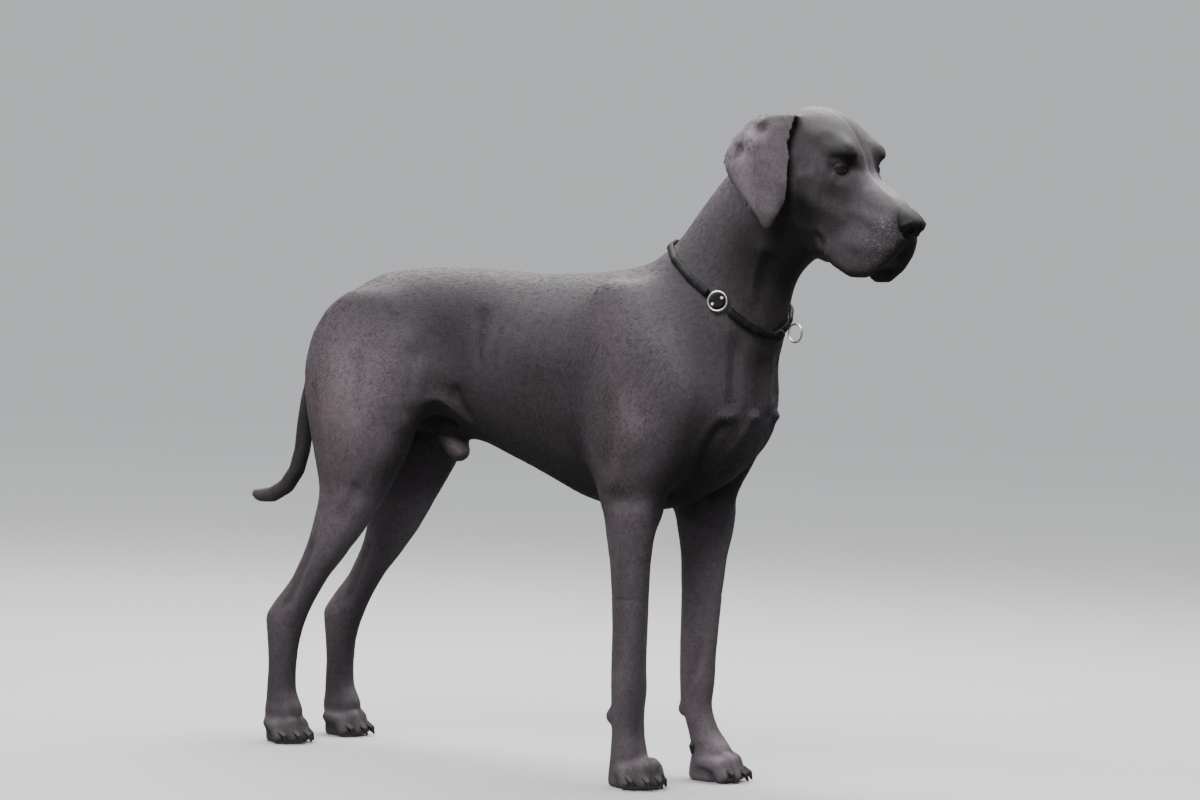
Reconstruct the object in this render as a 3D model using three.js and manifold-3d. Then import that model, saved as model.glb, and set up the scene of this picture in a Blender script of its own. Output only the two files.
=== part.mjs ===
// A standing Great Dane, life size, in millimetres, +Z up, facing +X, its left side at +Y.
// Every form is a loft or a sweep: the vertices of a sphere geometry moved onto rings along a smooth
// path. X is measured from the middle between the forefeet while the forms are built, and the finished
// group is shifted so that its origin is the middle of the floor under it.
import * as THREE from 'three';
import Module from 'manifold-3d';
import { mergeVertices } from 'three/addons/utils/BufferGeometryUtils.js';

const wasm = await Module();
wasm.setup();

// Driving dimensions
const GAP = 0.45; // clearance between touching pieces
const WITHERS = 858; // height at the shoulder blades
const RUMP = 838; // height at the loin and croup
const BRISKET = 438; // underside of the chest at the elbows
const CHEST_HALF = 122; // half the width of the rib cage
const LOIN_HALF = 88;
const HIP_HALF = 98;
const SHOULDER_HALF = 146; // half the width across the shoulder points
const THIGH_HALF = 130;
const RUMP_END = -722; // X of the buttocks
const FORE_STANCE = 88; // the forefeet stand this far from the middle plane
const HIND_STANCE = 78;
const LEFT_FORE_STEP = 48; // the left forefoot is set this far ahead of the right one
const LEFT_HIND_STEP = 8;
const HIND_FOOT_X = -747;
const LEG_TURN = 14; // degrees that the forelegs turn outwards
const TOE_OUT = 18; // degrees that the forepaws turn outwards
const HIND_TOE_OUT = 8;
const PAW_LENGTH = 100;
const PAW_WIDTH = 82;
const HIND_PAW_SCALE = 0.94;
const FORE_CUT_Z = 96; // the pastern and the forearm part here
const HOCK_CUT_Z = 196;
const HIND_CUT_Z = 62;
const HEAD_PIVOT_X = 200; // the head turns about an upright axis here
const HEAD_YAW = -5; // degrees, towards the dog's right
const SKULL_HALF = 73;
const MUZZLE_HALF = 40;
const EYE_RADIUS = 12.5;
const EYE_AT = [131, 43, 1015]; // along the head, to the side, up
const EAR_THICKNESS = 5.5;
const TAIL_RADIUS = 17;
const STRAP_WIDTH = 15;
const STRAP_THICKNESS = 8;
const STRAP_LIFT = 1.4; // how loosely the strap lies on the neck
const RING_RADIUS = 15.5; // the rings of the collar, to the middle of the wire
const RING_WIRE = 1.9; // radius of the wire
const LEAD_RING_AT = [222, 0, 751];
const LEAD_RING_AXIS = [0.225, 0.974, 0];
const SLIDER_RADII = [10.5, 13, 6];
const PATCH_RADIUS = 11.5; // the leather disc inside the side ring
const PATCH_THICKNESS = 4;
const RIVET_RADIUS = 2.6;
const RIVET_HEIGHT = 1.6;
const RIVET_SPOTS = [[5.3, 7.5], [-6, -6.9]]; // on the disc

// Solids
function toSolid(geometry) {
  const bare = geometry.clone();
  bare.deleteAttribute('normal');
  bare.deleteAttribute('uv');
  const merged = mergeVertices(bare, 1e-4);
  const vertProperties = new Float32Array(merged.attributes.position.array);
  const triVerts = new Uint32Array(merged.index.array);
  return new wasm.Manifold(new wasm.Mesh({ numProp: 3, vertProperties, triVerts }));
}

function toGeometry(solid) {
  const mesh = solid.getMesh();
  const geometry = new THREE.BufferGeometry();
  geometry.setAttribute('position', new THREE.BufferAttribute(mesh.vertProperties, 3));
  geometry.setIndex(new THREE.BufferAttribute(mesh.triVerts, 1));
  geometry.computeVertexNormals();
  return geometry;
}

const join = (...solids) => solids.reduce((all, one) => all.add(one));
const mirrorY = (side, value) => side * value;

// The biggest body of a solid, free of slivers left by a cut.
function largest(solid) {
  const bodies = solid.decompose();
  return bodies.reduce((best, body) => (body.volume() > best.volume() ? body : best));
}

// The surface of a loft. A ring passes through a front or top point a and a back or bottom point b of
// the side view, given as [x, z], and reaches left and right of the line between them. wide tells how
// far from a to b it is widest, pinch below 1 makes it boxy and above 1 thin-edged, bow bends a flat
// ring sideways, and turn swings every ring about an upright axis through its middle.
function surfaceOf(rings, grow = 0, turn = 0) {
  const curve = pick => new THREE.CatmullRomCurve3(rings.map(pick), false, 'catmullrom', 0.5);
  const front = curve(r => new THREE.Vector3(r.a[0], r.ya ?? r.y ?? 0, r.a[1]));
  const back = curve(r => new THREE.Vector3(r.b[0], r.yb ?? r.y ?? 0, r.b[1]));
  const sides = curve(r => new THREE.Vector3(r.left ?? r.half, r.right ?? r.half, r.wide ?? 0.5));
  const form = curve(r => new THREE.Vector3(r.pinchA ?? r.pinch ?? 1, r.pinchB ?? r.pinch ?? 1, r.bow ?? 0));
  const upright = new THREE.Vector3(0, 0, 1);
  const core = t => front.getPoint(t).lerp(back.getPoint(t), 0.5);
  const ends = { 0: core(0).sub(core(0.01)).setLength(grow), 1: core(1).sub(core(0.99)).setLength(grow) };
  return (t, angle, pole = false) => {
    const a = front.getPoint(t).add(ends[t] ?? new THREE.Vector3());
    const b = back.getPoint(t).add(ends[t] ?? new THREE.Vector3());
    const side = sides.getPoint(t);
    const shape = form.getPoint(t);
    const reach = b.clone().sub(a).setLength(grow);
    a.sub(reach);
    b.add(reach);
    const middle = a.clone().lerp(b, side.z);
    if (pole) return middle;
    const hub = a.clone().lerp(b, 0.5);
    const forward = Math.cos(angle);
    const across = Math.sin(angle);
    const end = forward > 0 ? a : b;
    const pinch = forward > 0 ? shape.x : shape.y;
    const half = (across > 0 ? side.x : side.y) + grow;
    const point = middle.clone().addScaledVector(end.sub(middle), Math.abs(forward) ** pinch);
    point.y += Math.sign(across) * half * Math.abs(across) ** pinch + shape.z * across * across;
    return point.sub(hub).applyAxisAngle(upright, THREE.MathUtils.degToRad(turn)).add(hub);
  };
}

function loft(rings, { around = 20, along = 16, grow = 0, turn = 0, place } = {}) {
  const surface = surfaceOf(rings, grow, turn);
  const geometry = new THREE.SphereGeometry(1, around, along);
  const position = geometry.attributes.position;
  const columns = around + 1;
  for (let i = 0; i < position.count; i += 1) {
    const row = Math.floor(i / columns);
    const angle = (2 * Math.PI * (i % columns)) / around;
    const pole = row === 0 || row === along;
    const t = pole ? row / along : (row - 1) / (along - 2);
    position.setXYZ(i, ...surface(t, angle, pole));
  }
  if (place) geometry.applyMatrix4(place);
  return facingOut(geometry);
}

// A sweep is a round bar along points given as [x, y, z, radius], or [x, y, z, radius, flatness]. A
// flat one is thin along the normals, one for each point, or upright where there are none.
function sweep(points, { around = 10, along = 10, grow = 0, normals, place } = {}) {
  const path = new THREE.CatmullRomCurve3(points.map(p => new THREE.Vector3(p[0], p[1], p[2])));
  const size = new THREE.CatmullRomCurve3(
    points.map((p, i) => new THREE.Vector3(p[3], p[4] ?? 1, i)), false, 'catmullrom', 0.5,
  );
  const facing = normals && new THREE.CatmullRomCurve3(normals);
  const geometry = new THREE.SphereGeometry(1, around, along);
  const position = geometry.attributes.position;
  const columns = around + 1;
  for (let i = 0; i < position.count; i += 1) {
    const row = Math.floor(i / columns);
    const angle = (2 * Math.PI * (i % columns)) / around;
    const pole = row === 0 || row === along;
    const t = pole ? row / along : (row - 1) / (along - 2);
    const at = path.getPoint(t);
    const tangent = path.getTangent(t);
    const level = facing ? tangent.clone().cross(facing.getPoint(t)) : new THREE.Vector3(0, 1, 0);
    const side = level.addScaledVector(tangent, -level.dot(tangent)).normalize();
    const up = side.clone().cross(tangent);
    const { x: radius, y: flat } = size.getPoint(t);
    const reach = pole ? 0 : radius + grow;
    at.addScaledVector(up, Math.cos(angle) * reach * flat);
    at.addScaledVector(side, Math.sin(angle) * reach);
    if (pole) at.addScaledVector(tangent, (row === 0 ? -1 : 1) * (radius * 0.35 + grow));
    position.setXYZ(i, at.x, at.y, at.z);
  }
  if (place) geometry.applyMatrix4(place);
  return facingOut(geometry);
}

function ball(centre, radii, { around = 12, along = 8, grow = 0, place } = {}) {
  const geometry = new THREE.SphereGeometry(1, around, along);
  geometry.scale(radii[0] + grow, radii[1] + grow, radii[2] + grow);
  geometry.translate(...centre);
  if (place) geometry.applyMatrix4(place);
  return facingOut(geometry);
}

// Turns the faces of a geometry outwards, whichever way round its rings ran.
function facingOut(geometry) {
  let solid = toSolid(geometry);
  if (solid.volume() <= 0) {
    const index = geometry.index.array;
    for (let i = 0; i < index.length; i += 3) [index[i], index[i + 1]] = [index[i + 1], index[i]];
    solid = toSolid(geometry);
  }
  return solid;
}

function box(size, centre, turn = 0) {
  const geometry = new THREE.BoxGeometry(...size);
  geometry.rotateY(turn);
  geometry.translate(...centre);
  return toSolid(geometry);
}

// Parts a solid at a thin upright or tilted cut through a point, and gives [low, high] bodies.
function partAt(solid, centre, turn, span) {
  const slab = box([span[0], span[1], GAP], centre, turn);
  const bodies = solid.subtract(slab).decompose().sort((one, two) => two.volume() - one.volume());
  const height = body => (body.boundingBox().min[2] + body.boundingBox().max[2]) / 2;
  return bodies.slice(0, 2).sort((one, two) => height(one) - height(two));
}

// Trunk: upright rings from the buttocks to the point of the breastbone
const station = (x, top, bottom, half, more = {}) => ({ a: [x, top], b: [x, bottom], half, ...more });
function trunkForm() {
  const rings = [
    { a: [RUMP_END + 16, 728], b: [RUMP_END - 4, 640], half: 34, wide: 0.5 },
    { a: [RUMP_END + 40, 776], b: [-700, 585], half: 72, wide: 0.45 },
    { a: [-636, 811], b: [-640, 552], half: HIP_HALF - 6, wide: 0.42 },
    station(-560, RUMP - 5, 545, HIP_HALF, { wide: 0.42, pinchA: 0.95 }),
    station(-472, RUMP, 548, HIP_HALF - 8, { wide: 0.45, pinchA: 0.95 }),
    station(-385, RUMP, 540, LOIN_HALF, { wide: 0.45, pinchA: 0.92 }),
    station(-300, RUMP - 3, 511, LOIN_HALF + 14, { wide: 0.47 }),
    station(-213, RUMP - 9, 480, CHEST_HALF - 6, { wide: 0.5 }),
    station(-130, WITHERS - 12, BRISKET + 7, CHEST_HALF, { wide: 0.52, pinchB: 1.05 }),
    station(-62, WITHERS, BRISKET, CHEST_HALF, { wide: 0.52, pinchA: 1.15, pinchB: 1.1 }),
    station(0, WITHERS + 2, BRISKET + 8, CHEST_HALF - 4, { wide: 0.55, pinchA: 1.15, pinchB: 1.1 }),
    station(62, WITHERS - 20, BRISKET + 30, CHEST_HALF - 12, { wide: 0.55 }),
    station(116, 795, 515, 96, { wide: 0.5 }),
    station(158, 742, 562, 68, { wide: 0.5 }),
    station(174, 686, 602, 34, { wide: 0.5 }),
  ];
  return loft(rings, { around: 14, along: 13 });
}

// Neck: from the withers and the breastbone up to the skull and the throat
const NECK_RINGS = [
  { a: [-110, 822], b: [118, 600], half: 98, wide: 0.55 },
  { a: [-66, 857], b: [164, 655], half: 104, wide: 0.55, pinchA: 1.1 },
  { a: [-12, 886], b: [192, 735], half: 80, wide: 0.52, pinchA: 1.1 },
  { a: [32, 941], b: [203, 792], half: 68, wide: 0.5, pinchA: 1.05 },
  { a: [78, 996], b: [220, 840], half: 61, wide: 0.48 },
  { a: [128, 1045], b: [250, 866], half: 59, wide: 0.48 },
  { a: [185, 1078], b: [290, 892], half: 52, wide: 0.5 },
];
const neckForm = (grow = 0) => loft(NECK_RINGS, { around: 12, along: 10, grow });

// Head, in its own frame: x runs forwards from the turning axis
const headPlace = new THREE.Matrix4().makeRotationZ(THREE.MathUtils.degToRad(HEAD_YAW));
headPlace.setPosition(HEAD_PIVOT_X, 0, 0);

function skullForm(grow = 0) {
  const rings = [
    { a: [-30, 1076], b: [4, 945], half: 36, wide: 0.45 },
    { a: [-10, 1103], b: [20, 905], half: 58, wide: 0.42, pinchA: 0.85 },
    { a: [38, 1119], b: [58, 872], half: SKULL_HALF - 4, wide: 0.42, pinchA: 0.8 },
    { a: [82, 1112], b: [96, 864], half: SKULL_HALF, wide: 0.46, pinchA: 0.75, pinchB: 0.95 },
    { a: [115, 1092], b: [120, 866], half: SKULL_HALF - 4, wide: 0.46, pinchA: 0.72, pinchB: 0.9 },
    { a: [139, 1060], b: [140, 872], half: 57, wide: 0.5, pinchA: 0.7, pinchB: 0.9 },
    { a: [158, 1020], b: [160, 878], half: 44, wide: 0.55, pinchA: 0.75, pinchB: 0.85 },
    { a: [179, 993], b: [178, 880], half: MUZZLE_HALF, wide: 0.55, pinchA: 0.8, pinchB: 0.8 },
    { a: [208, 977], b: [198, 882], half: MUZZLE_HALF - 1, wide: 0.55, pinchA: 0.8, pinchB: 0.8 },
    { a: [228, 962], b: [217, 888], half: MUZZLE_HALF - 4, wide: 0.5, pinchA: 0.85, pinchB: 0.8 },
    { a: [240, 946], b: [234, 900], half: 24, wide: 0.5 },
  ];
  return loft(rings, { around: 14, along: 14, grow, place: headPlace });
}

// One upper lip: a thick flap that hangs from the muzzle, deepest below the eye
function flewForm(side) {
  const droop = side > 0 ? 7 : 0; // the left lip hangs lower
  const hang = (x, top, low, y, half, more = {}) => ({
    a: [x + 4, top], b: [x, low - droop * (x > 150 ? 1 : 0.4)], y: mirrorY(side, y), half, wide: 0.5, ...more,
  });
  const rings = [
    hang(94, 925, 884, 42, 11),
    hang(120, 940, 860, 40, 14),
    hang(152, 945, 842, 34, 14.5, { pinchB: 0.75 }),
    hang(184, 940, 843, 29, 14, { pinchB: 0.75 }),
    hang(210, 934, 861, 25, 13.5, { pinchB: 0.75 }),
    hang(229, 928, 882, 17, 14, { pinchB: 0.8 }),
    hang(239, 920, 902, 10, 9),
  ];
  return loft(rings, { around: 8, along: 8, place: headPlace });
}

function browForm(side) {
  return ball([112, mirrorY(side, 38), 1040], [51, 24, 28], { around: 8, along: 5, place: headPlace });
}

// The hollow round the eye, under the brow
function orbitForm(side) {
  return ball([150, mirrorY(side, 58), 1012], [25, 17, 17], { around: 7, along: 5, place: headPlace });
}

function jawForm(grow = 0) {
  const rings = [
    { a: [70, 898], b: [76, 872], half: 22 },
    { a: [100, 896], b: [104, 862], half: 25 },
    { a: [140, 892], b: [142, 856], half: 22 },
    { a: [180, 888], b: [180, 857], half: 19 },
    { a: [208, 888], b: [206, 862], half: 17 },
    { a: [220, 888], b: [218, 870], half: 10 },
  ];
  return loft(rings, { around: 8, along: 7, grow, place: headPlace });
}

function noseForm(grow = 0) {
  const rings = [
    { a: [230, 958], b: [225, 915], half: 17 },
    { a: [240, 957], b: [234, 911], half: 23, wide: 0.42, pinch: 0.9 },
    { a: [250, 950], b: [243, 911], half: 24, wide: 0.42, pinch: 0.85 },
    { a: [256, 942], b: [249, 915], half: 20, wide: 0.42, pinch: 0.85 },
    { a: [258, 936], b: [253, 922], half: 12, wide: 0.45 },
  ];
  return loft(rings, { around: 12, along: 7, grow, place: headPlace });
}

const eyeForm = (side, grow = 0) => ball(
  [EYE_AT[0], mirrorY(side, EYE_AT[1]), EYE_AT[2]],
  [EYE_RADIUS, EYE_RADIUS, EYE_RADIUS],
  { around: 8, along: 6, grow, place: headPlace },
);

// One ear: a thin leaf folded over at its root, hanging to a soft point beside the cheek
function earForm(side, grow = 0) {
  const leaf = (front, yFront, rear, yRear, bow, thick = 1) => ({
    a: front, ya: mirrorY(side, yFront), b: rear, yb: mirrorY(side, yRear),
    half: (EAR_THICKNESS / 2) * thick, bow: mirrorY(side, bow),
  });
  const rings = [
    leaf([68, 1092], 50, [8, 1088], 46, 0, 1.6),
    leaf([68, 1103], 60, [-18, 1100], 58, 4, 1.5),
    leaf([64, 1097], 70, [-42, 1082], 68, 6, 1.2),
    leaf([57, 1072], 77, [-64, 1054], 76, 8),
    leaf([57, 1040], 80, [-76, 1026], 80, 9),
    leaf([61, 1006], 81, [-64, 1000], 81, 9),
    leaf([58, 974], 81, [-39, 972], 81, 7),
    leaf([45, 944], 81, [-9, 944], 81, 4),
    leaf([24, 918], 81, [12, 918], 81, 0, 0.8),
  ];
  return loft(rings, { around: 10, along: 11, grow, place: headPlace });
}

// Shoulder: the blade and the upper arm, a flat mass on the side of the chest down to the elbow
const level = (z, front, back, y, outer, inner, side, more = {}) => ({
  a: [front, z],
  b: [back, z],
  y: mirrorY(side, y),
  left: side > 0 ? outer : inner,
  right: side > 0 ? inner : outer,
  ...more,
});

const INNER_FORE = 72; // the shoulder piece is flat on its inner side, this far from the middle
const shoulderInner = grow => box([330, 2 * (INNER_FORE - grow), 500], [0, 0, 720 + grow]);
function shoulderForm(side, step, grow = 0) {
  const lean = z => step * 0.42 * THREE.MathUtils.clamp((850 - z) / 390, 0, 1);
  const at = (z, front, back, outer, more) => level(
    z, front + lean(z), back + lean(z), 85, outer - 85, 40, side, more,
  );
  const rings = [
    at(832, -44, -104, 92, { wide: 0.5 }),
    at(790, 16, -122, 106, { wide: 0.5, pinchA: 0.9 }),
    at(740, 72, -136, 126, { wide: 0.45, pinchA: 0.85 }),
    at(690, 112, -146, 140, { wide: 0.42, pinchA: 0.85 }),
    at(640, 124, -150, SHOULDER_HALF, { wide: 0.4, pinchA: 0.9 }),
    at(590, 113, -144, SHOULDER_HALF - 1, { wide: 0.45 }),
    at(540, 88, -124, SHOULDER_HALF - 6, { wide: 0.5 }),
    at(495, 58, -98, SHOULDER_HALF - 12, { wide: 0.5 }),
    at(455, 38, -76, SHOULDER_HALF - 18, { wide: 0.5 }),
    at(425, 22, -60, SHOULDER_HALF - 30, { wide: 0.5 }),
  ];
  return loft(rings, { around: 10, along: 12, grow }).subtract(shoulderInner(grow));
}

// Foreleg: forearm, knee, pastern, with the carpal pad behind the knee
function forelegForm(side, step, grow = 0) {
  const lean = z => step * (0.42 + 0.58 * THREE.MathUtils.smoothstep(-z, -130, -40));
  const at = (z, front, back, y, half, more = {}) => level(
    z, front + lean(z), back + lean(z), y, half, half, side, { wide: 0.45, ...more },
  );
  const rings = [
    at(465, 36, -74, 101, 35),
    at(420, 33, -71, 99, 33),
    at(370, 24, -61, 96, 29),
    at(315, 20, -56, 93, 27),
    at(255, 17, -53, 90, 27),
    at(205, 14, -52, 89, 28),
    at(160, 13, -49, 88, 31, { pinchA: 0.9 }),
    at(122, 9, -46, 87, 30),
    at(85, 9, -43, 86, 30),
    at(50, 17, -45, 86, 33),
    at(20, 26, -50, 86, 34),
    at(-12, 26, -50, 86, 33),
  ];
  const pad = ball(
    [-47 + lean(112), mirrorY(side, 91), 113], [14, 12, 17], { around: 6, along: 4, grow },
  );
  return join(loft(rings, { around: 8, along: 13, grow, turn: side * LEG_TURN }), pad);
}

// Thigh: from the croup to the stifle
const INNER_HIND = 58; // above the belly the thigh piece is flat on its inner side
const thighInner = grow => box([460, 2 * (INNER_HIND - grow), 400], [-590, 0, 765 + grow]);
function thighForm(side, grow = 0) {
  const at = (z, front, back, outer, inner, more = {}) => level(
    z, front, back, 76, outer - 76, 76 - inner, side, { wide: 0.5, ...more },
  );
  const rings = [
    at(792, -520, -632, 80, 50),
    at(762, -478, -676, 95, 45),
    at(715, -446, -706, 114, 38),
    at(660, -432, -720, 126, 30),
    at(605, -440, -716, THIGH_HALF, 24),
    at(550, -478, -702, THIGH_HALF - 2, 24),
    at(500, -505, -688, THIGH_HALF - 8, 28),
    at(450, -532, -676, THIGH_HALF - 16, 36),
    at(405, -562, -680, THIGH_HALF - 24, 44),
    at(370, -588, -690, THIGH_HALF - 31, 50),
  ];
  return loft(rings, { around: 10, along: 11, grow }).subtract(thighInner(grow));
}

// Lower hind leg: second thigh, hock and pastern, with the heel tendon standing off behind
function hindlegForm(side, step, grow = 0) {
  const lean = z => step * Math.max(0, 1 - z / 420);
  const at = (front, back, y, half, more = {}) => ({
    a: [front[0] + lean(front[1]), front[1]], b: [back[0] + lean(back[1]), back[1]],
    y: mirrorY(side, y), half, wide: 0.4, ...more,
  });
  const rings = [
    at([-556, 418], [-664, 470], 82, 33),
    at([-586, 372], [-674, 430], 81, 32),
    at([-616, 334], [-686, 388], 80, 30),
    at([-648, 300], [-704, 343], 80, 26, { pinchB: 1.25 }),
    at([-672, 266], [-727, 300], 79, 23, { pinchB: 1.5 }),
    at([-690, 236], [-752, 266], 79, 22, { pinchB: 1.6 }),
    at([-701, 210], [-784, 234], 79, 22, { pinchB: 1.35 }),
    at([-711, 182], [-789, 206], 78, 23),
    at([-718, 152], [-779, 168], 78, 22),
    at([-720, 115], [-779, 120], 78, 22),
    at([-719, 82], [-780, 82], 78, 24),
    at([-711, 50], [-781, 46], 78, 28),
    at([-706, 20], [-776, 18], 78, 29),
    at([-706, -12], [-776, -12], 78, 28),
  ];
  return loft(rings, { around: 8, along: 14, grow });
}

// Paw, in its own frame: x forwards, the middle of the foot at the origin, the floor at z = 0
const TOES = [
  { y: 0.152, reach: 0.5, rise: 1 },
  { y: -0.152, reach: 0.5, rise: 1 },
  { y: 0.4, reach: 0.33, rise: 0.88 },
  { y: -0.4, reach: 0.33, rise: 0.88 },
];

function pawPlace(side, x, y, turn) {
  const place = new THREE.Matrix4().makeRotationZ(THREE.MathUtils.degToRad(side * turn));
  return place.setPosition(x, mirrorY(side, y), 0);
}

// Four arched toes that run out of the foot of the leg, side by side, cut flat by the floor
function withToes(leg, place, scale = 1) {
  const toes = TOES.map(({ y, reach, rise }) => {
    const across = y * PAW_WIDTH * scale;
    const tip = reach * PAW_LENGTH * scale;
    return sweep([
      [tip - 60, across * 0.55, 38 * rise, 13 * scale],
      [tip - 24, across, 32 * rise, 14.5 * scale],
      [tip - 12, across * 1.05, 6, 12.5 * scale],
    ], { around: 6, along: 4, place });
  });
  const floor = box([3000, 1200, 200], [0, 0, -100]);
  return join(leg, ...toes).subtract(floor);
}

function clawForm(toe, place, scale = 1) {
  const across = toe.y * PAW_WIDTH * scale * 1.05;
  const tip = toe.reach * PAW_LENGTH * scale;
  return sweep([
    [tip - 4, across, 17, 4.6],
    [tip + 5, across, 12, 3.8],
    [tip + 8, across, 4, 1.6],
  ], { around: 4, along: 4, place });
}

function dewclawForm(side, step) {
  const x = step * 0.9 - 22;
  const y = FORE_STANCE - 27;
  return sweep([
    [x, mirrorY(side, y + 4), 62, 5],
    [x - 1, mirrorY(side, y - 3), 53, 4.4],
    [x + 1, mirrorY(side, y - 5), 44, 1.6],
  ], { around: 5, along: 4 });
}

// Tail: hangs close behind the buttocks and curls back at its blunt tip
function tailForm(grow = 0) {
  return sweep([
    [-668, 0, 742, TAIL_RADIUS + 8],
    [-706, 0, 720, TAIL_RADIUS + 7],
    [-740, 0, 668, TAIL_RADIUS + 4],
    [-763, 0, 606, TAIL_RADIUS + 1],
    [-775, 0, 552, TAIL_RADIUS - 1],
    [-781, 0, 502, TAIL_RADIUS - 2],
    [-797, 0, 458, TAIL_RADIUS - 2],
    [-829, 0, 427, TAIL_RADIUS - 2],
    [-868, 0, 418, TAIL_RADIUS - 4],
    [-886, 0, 422, TAIL_RADIUS - 9],
  ], { around: 8, along: 13, grow });
}

// Sheath and scrotum
const sheathForm = (grow = 0) => sweep([
  [-530, 0, 586, 15], [-492, 0, 571, 19], [-459, 0, 545, 20], [-442, 0, 526, 19], [-433, 0, 513, 13],
], { around: 7, along: 6, grow });
const scrotumForm = (grow = 0) => ball([-604, 0, 545], [32, 26, 36], { around: 8, along: 6, grow });

// Collar: a rolled strap round the neck, given by its turn in degrees from the nape, over the dog's
// right side to the throat at 180, and by how far up the neck it lies
const STRAP_LINE = [
  [0, 0.335], [55, 0.342], [104, 0.358], [140, 0.352], [171, 0.37], [198, 0.445], [255, 0.43],
  [312, 0.37], [360, 0.335],
];
const SIDE_RING_AT = 2 / 8; // along the line
const SLIDER_AT = 4 / 8;
const BACK_STRAP_SHORT = 0.03; // the straps end this far along the line from the side ring's middle
const FRONT_STRAP_SHORT = 0.036;
const strapLine = new THREE.SplineCurve(STRAP_LINE.map(([turn, up]) => new THREE.Vector2(turn, up)));
const overNeck = surfaceOf(NECK_RINGS, STRAP_LIFT + STRAP_THICKNESS / 2);

function strapAt(u) {
  const step = 1e-3;
  const { x: turn, y: up } = strapLine.getPoint(THREE.MathUtils.euclideanModulo(u, 1));
  const angle = -THREE.MathUtils.degToRad(turn);
  const along = overNeck(up + step, angle).sub(overNeck(up - step, angle));
  const round = overNeck(up, angle + step).sub(overNeck(up, angle - step));
  return { point: overNeck(up, angle), normal: along.cross(round).normalize() };
}

function strapForm(from, to, steps) {
  const spots = Array.from({ length: steps + 1 }, (_, i) => strapAt(from + ((to - from) * i) / steps));
  const points = spots.map(({ point }) => [...point, STRAP_WIDTH / 2, STRAP_THICKNESS / STRAP_WIDTH]);
  const normals = spots.map(({ normal }) => normal);
  return sweep(points, { around: 6, along: steps + 3, normals });
}

// Places a small piece at a point, its own z axis along a direction
function facingPlace(point, normal) {
  const turn = new THREE.Quaternion().setFromUnitVectors(new THREE.Vector3(0, 0, 1), normal);
  return new THREE.Matrix4().compose(point, turn, new THREE.Vector3(1, 1, 1));
}

function ringForm(radius, place) {
  const geometry = new THREE.TorusGeometry(radius, RING_WIRE, 5, 14);
  return facingOut(geometry.applyMatrix4(place));
}

function discForm(radius, height, sides, centre, place) {
  const geometry = new THREE.CylinderGeometry(radius, radius, height, sides);
  geometry.rotateX(Math.PI / 2).translate(...centre);
  return facingOut(geometry.applyMatrix4(place));
}

// Materials
const finish = (color, roughness, metalness = 0) => new THREE.MeshStandardMaterial({
  color, roughness, metalness,
});
const coat = finish(0x5b5457, 0.62);
const coatDark = finish(0x3f393c, 0.65);
const earCoat = finish(0x6a6166, 0.6);
const noseSkin = finish(0x2b2a2f, 0.45);
const iris = finish(0x2a160e, 0.12);
const horn = finish(0x2e2a2a, 0.4);
const leather = finish(0x19191c, 0.5);
const chrome = finish(0xd8d8d6, 0.18, 1);

const dog = new THREE.Group();
function add(name, solid, material, offset = new THREE.Vector3()) {
  const mesh = new THREE.Mesh(toGeometry(largest(solid)), material);
  mesh.name = name;
  mesh.position.copy(offset);
  dog.add(mesh);
}

// Claws are cut by the paw they grow from, and stand off it by the gap
function addClaws(name, claws, paw, turn) {
  const ahead = new THREE.Vector3(GAP, 0, 0).applyAxisAngle(new THREE.Vector3(0, 0, 1), turn);
  claws.forEach((claw, i) => add(`${name}_${i + 1}`, claw.subtract(paw), horn, ahead));
}

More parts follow.
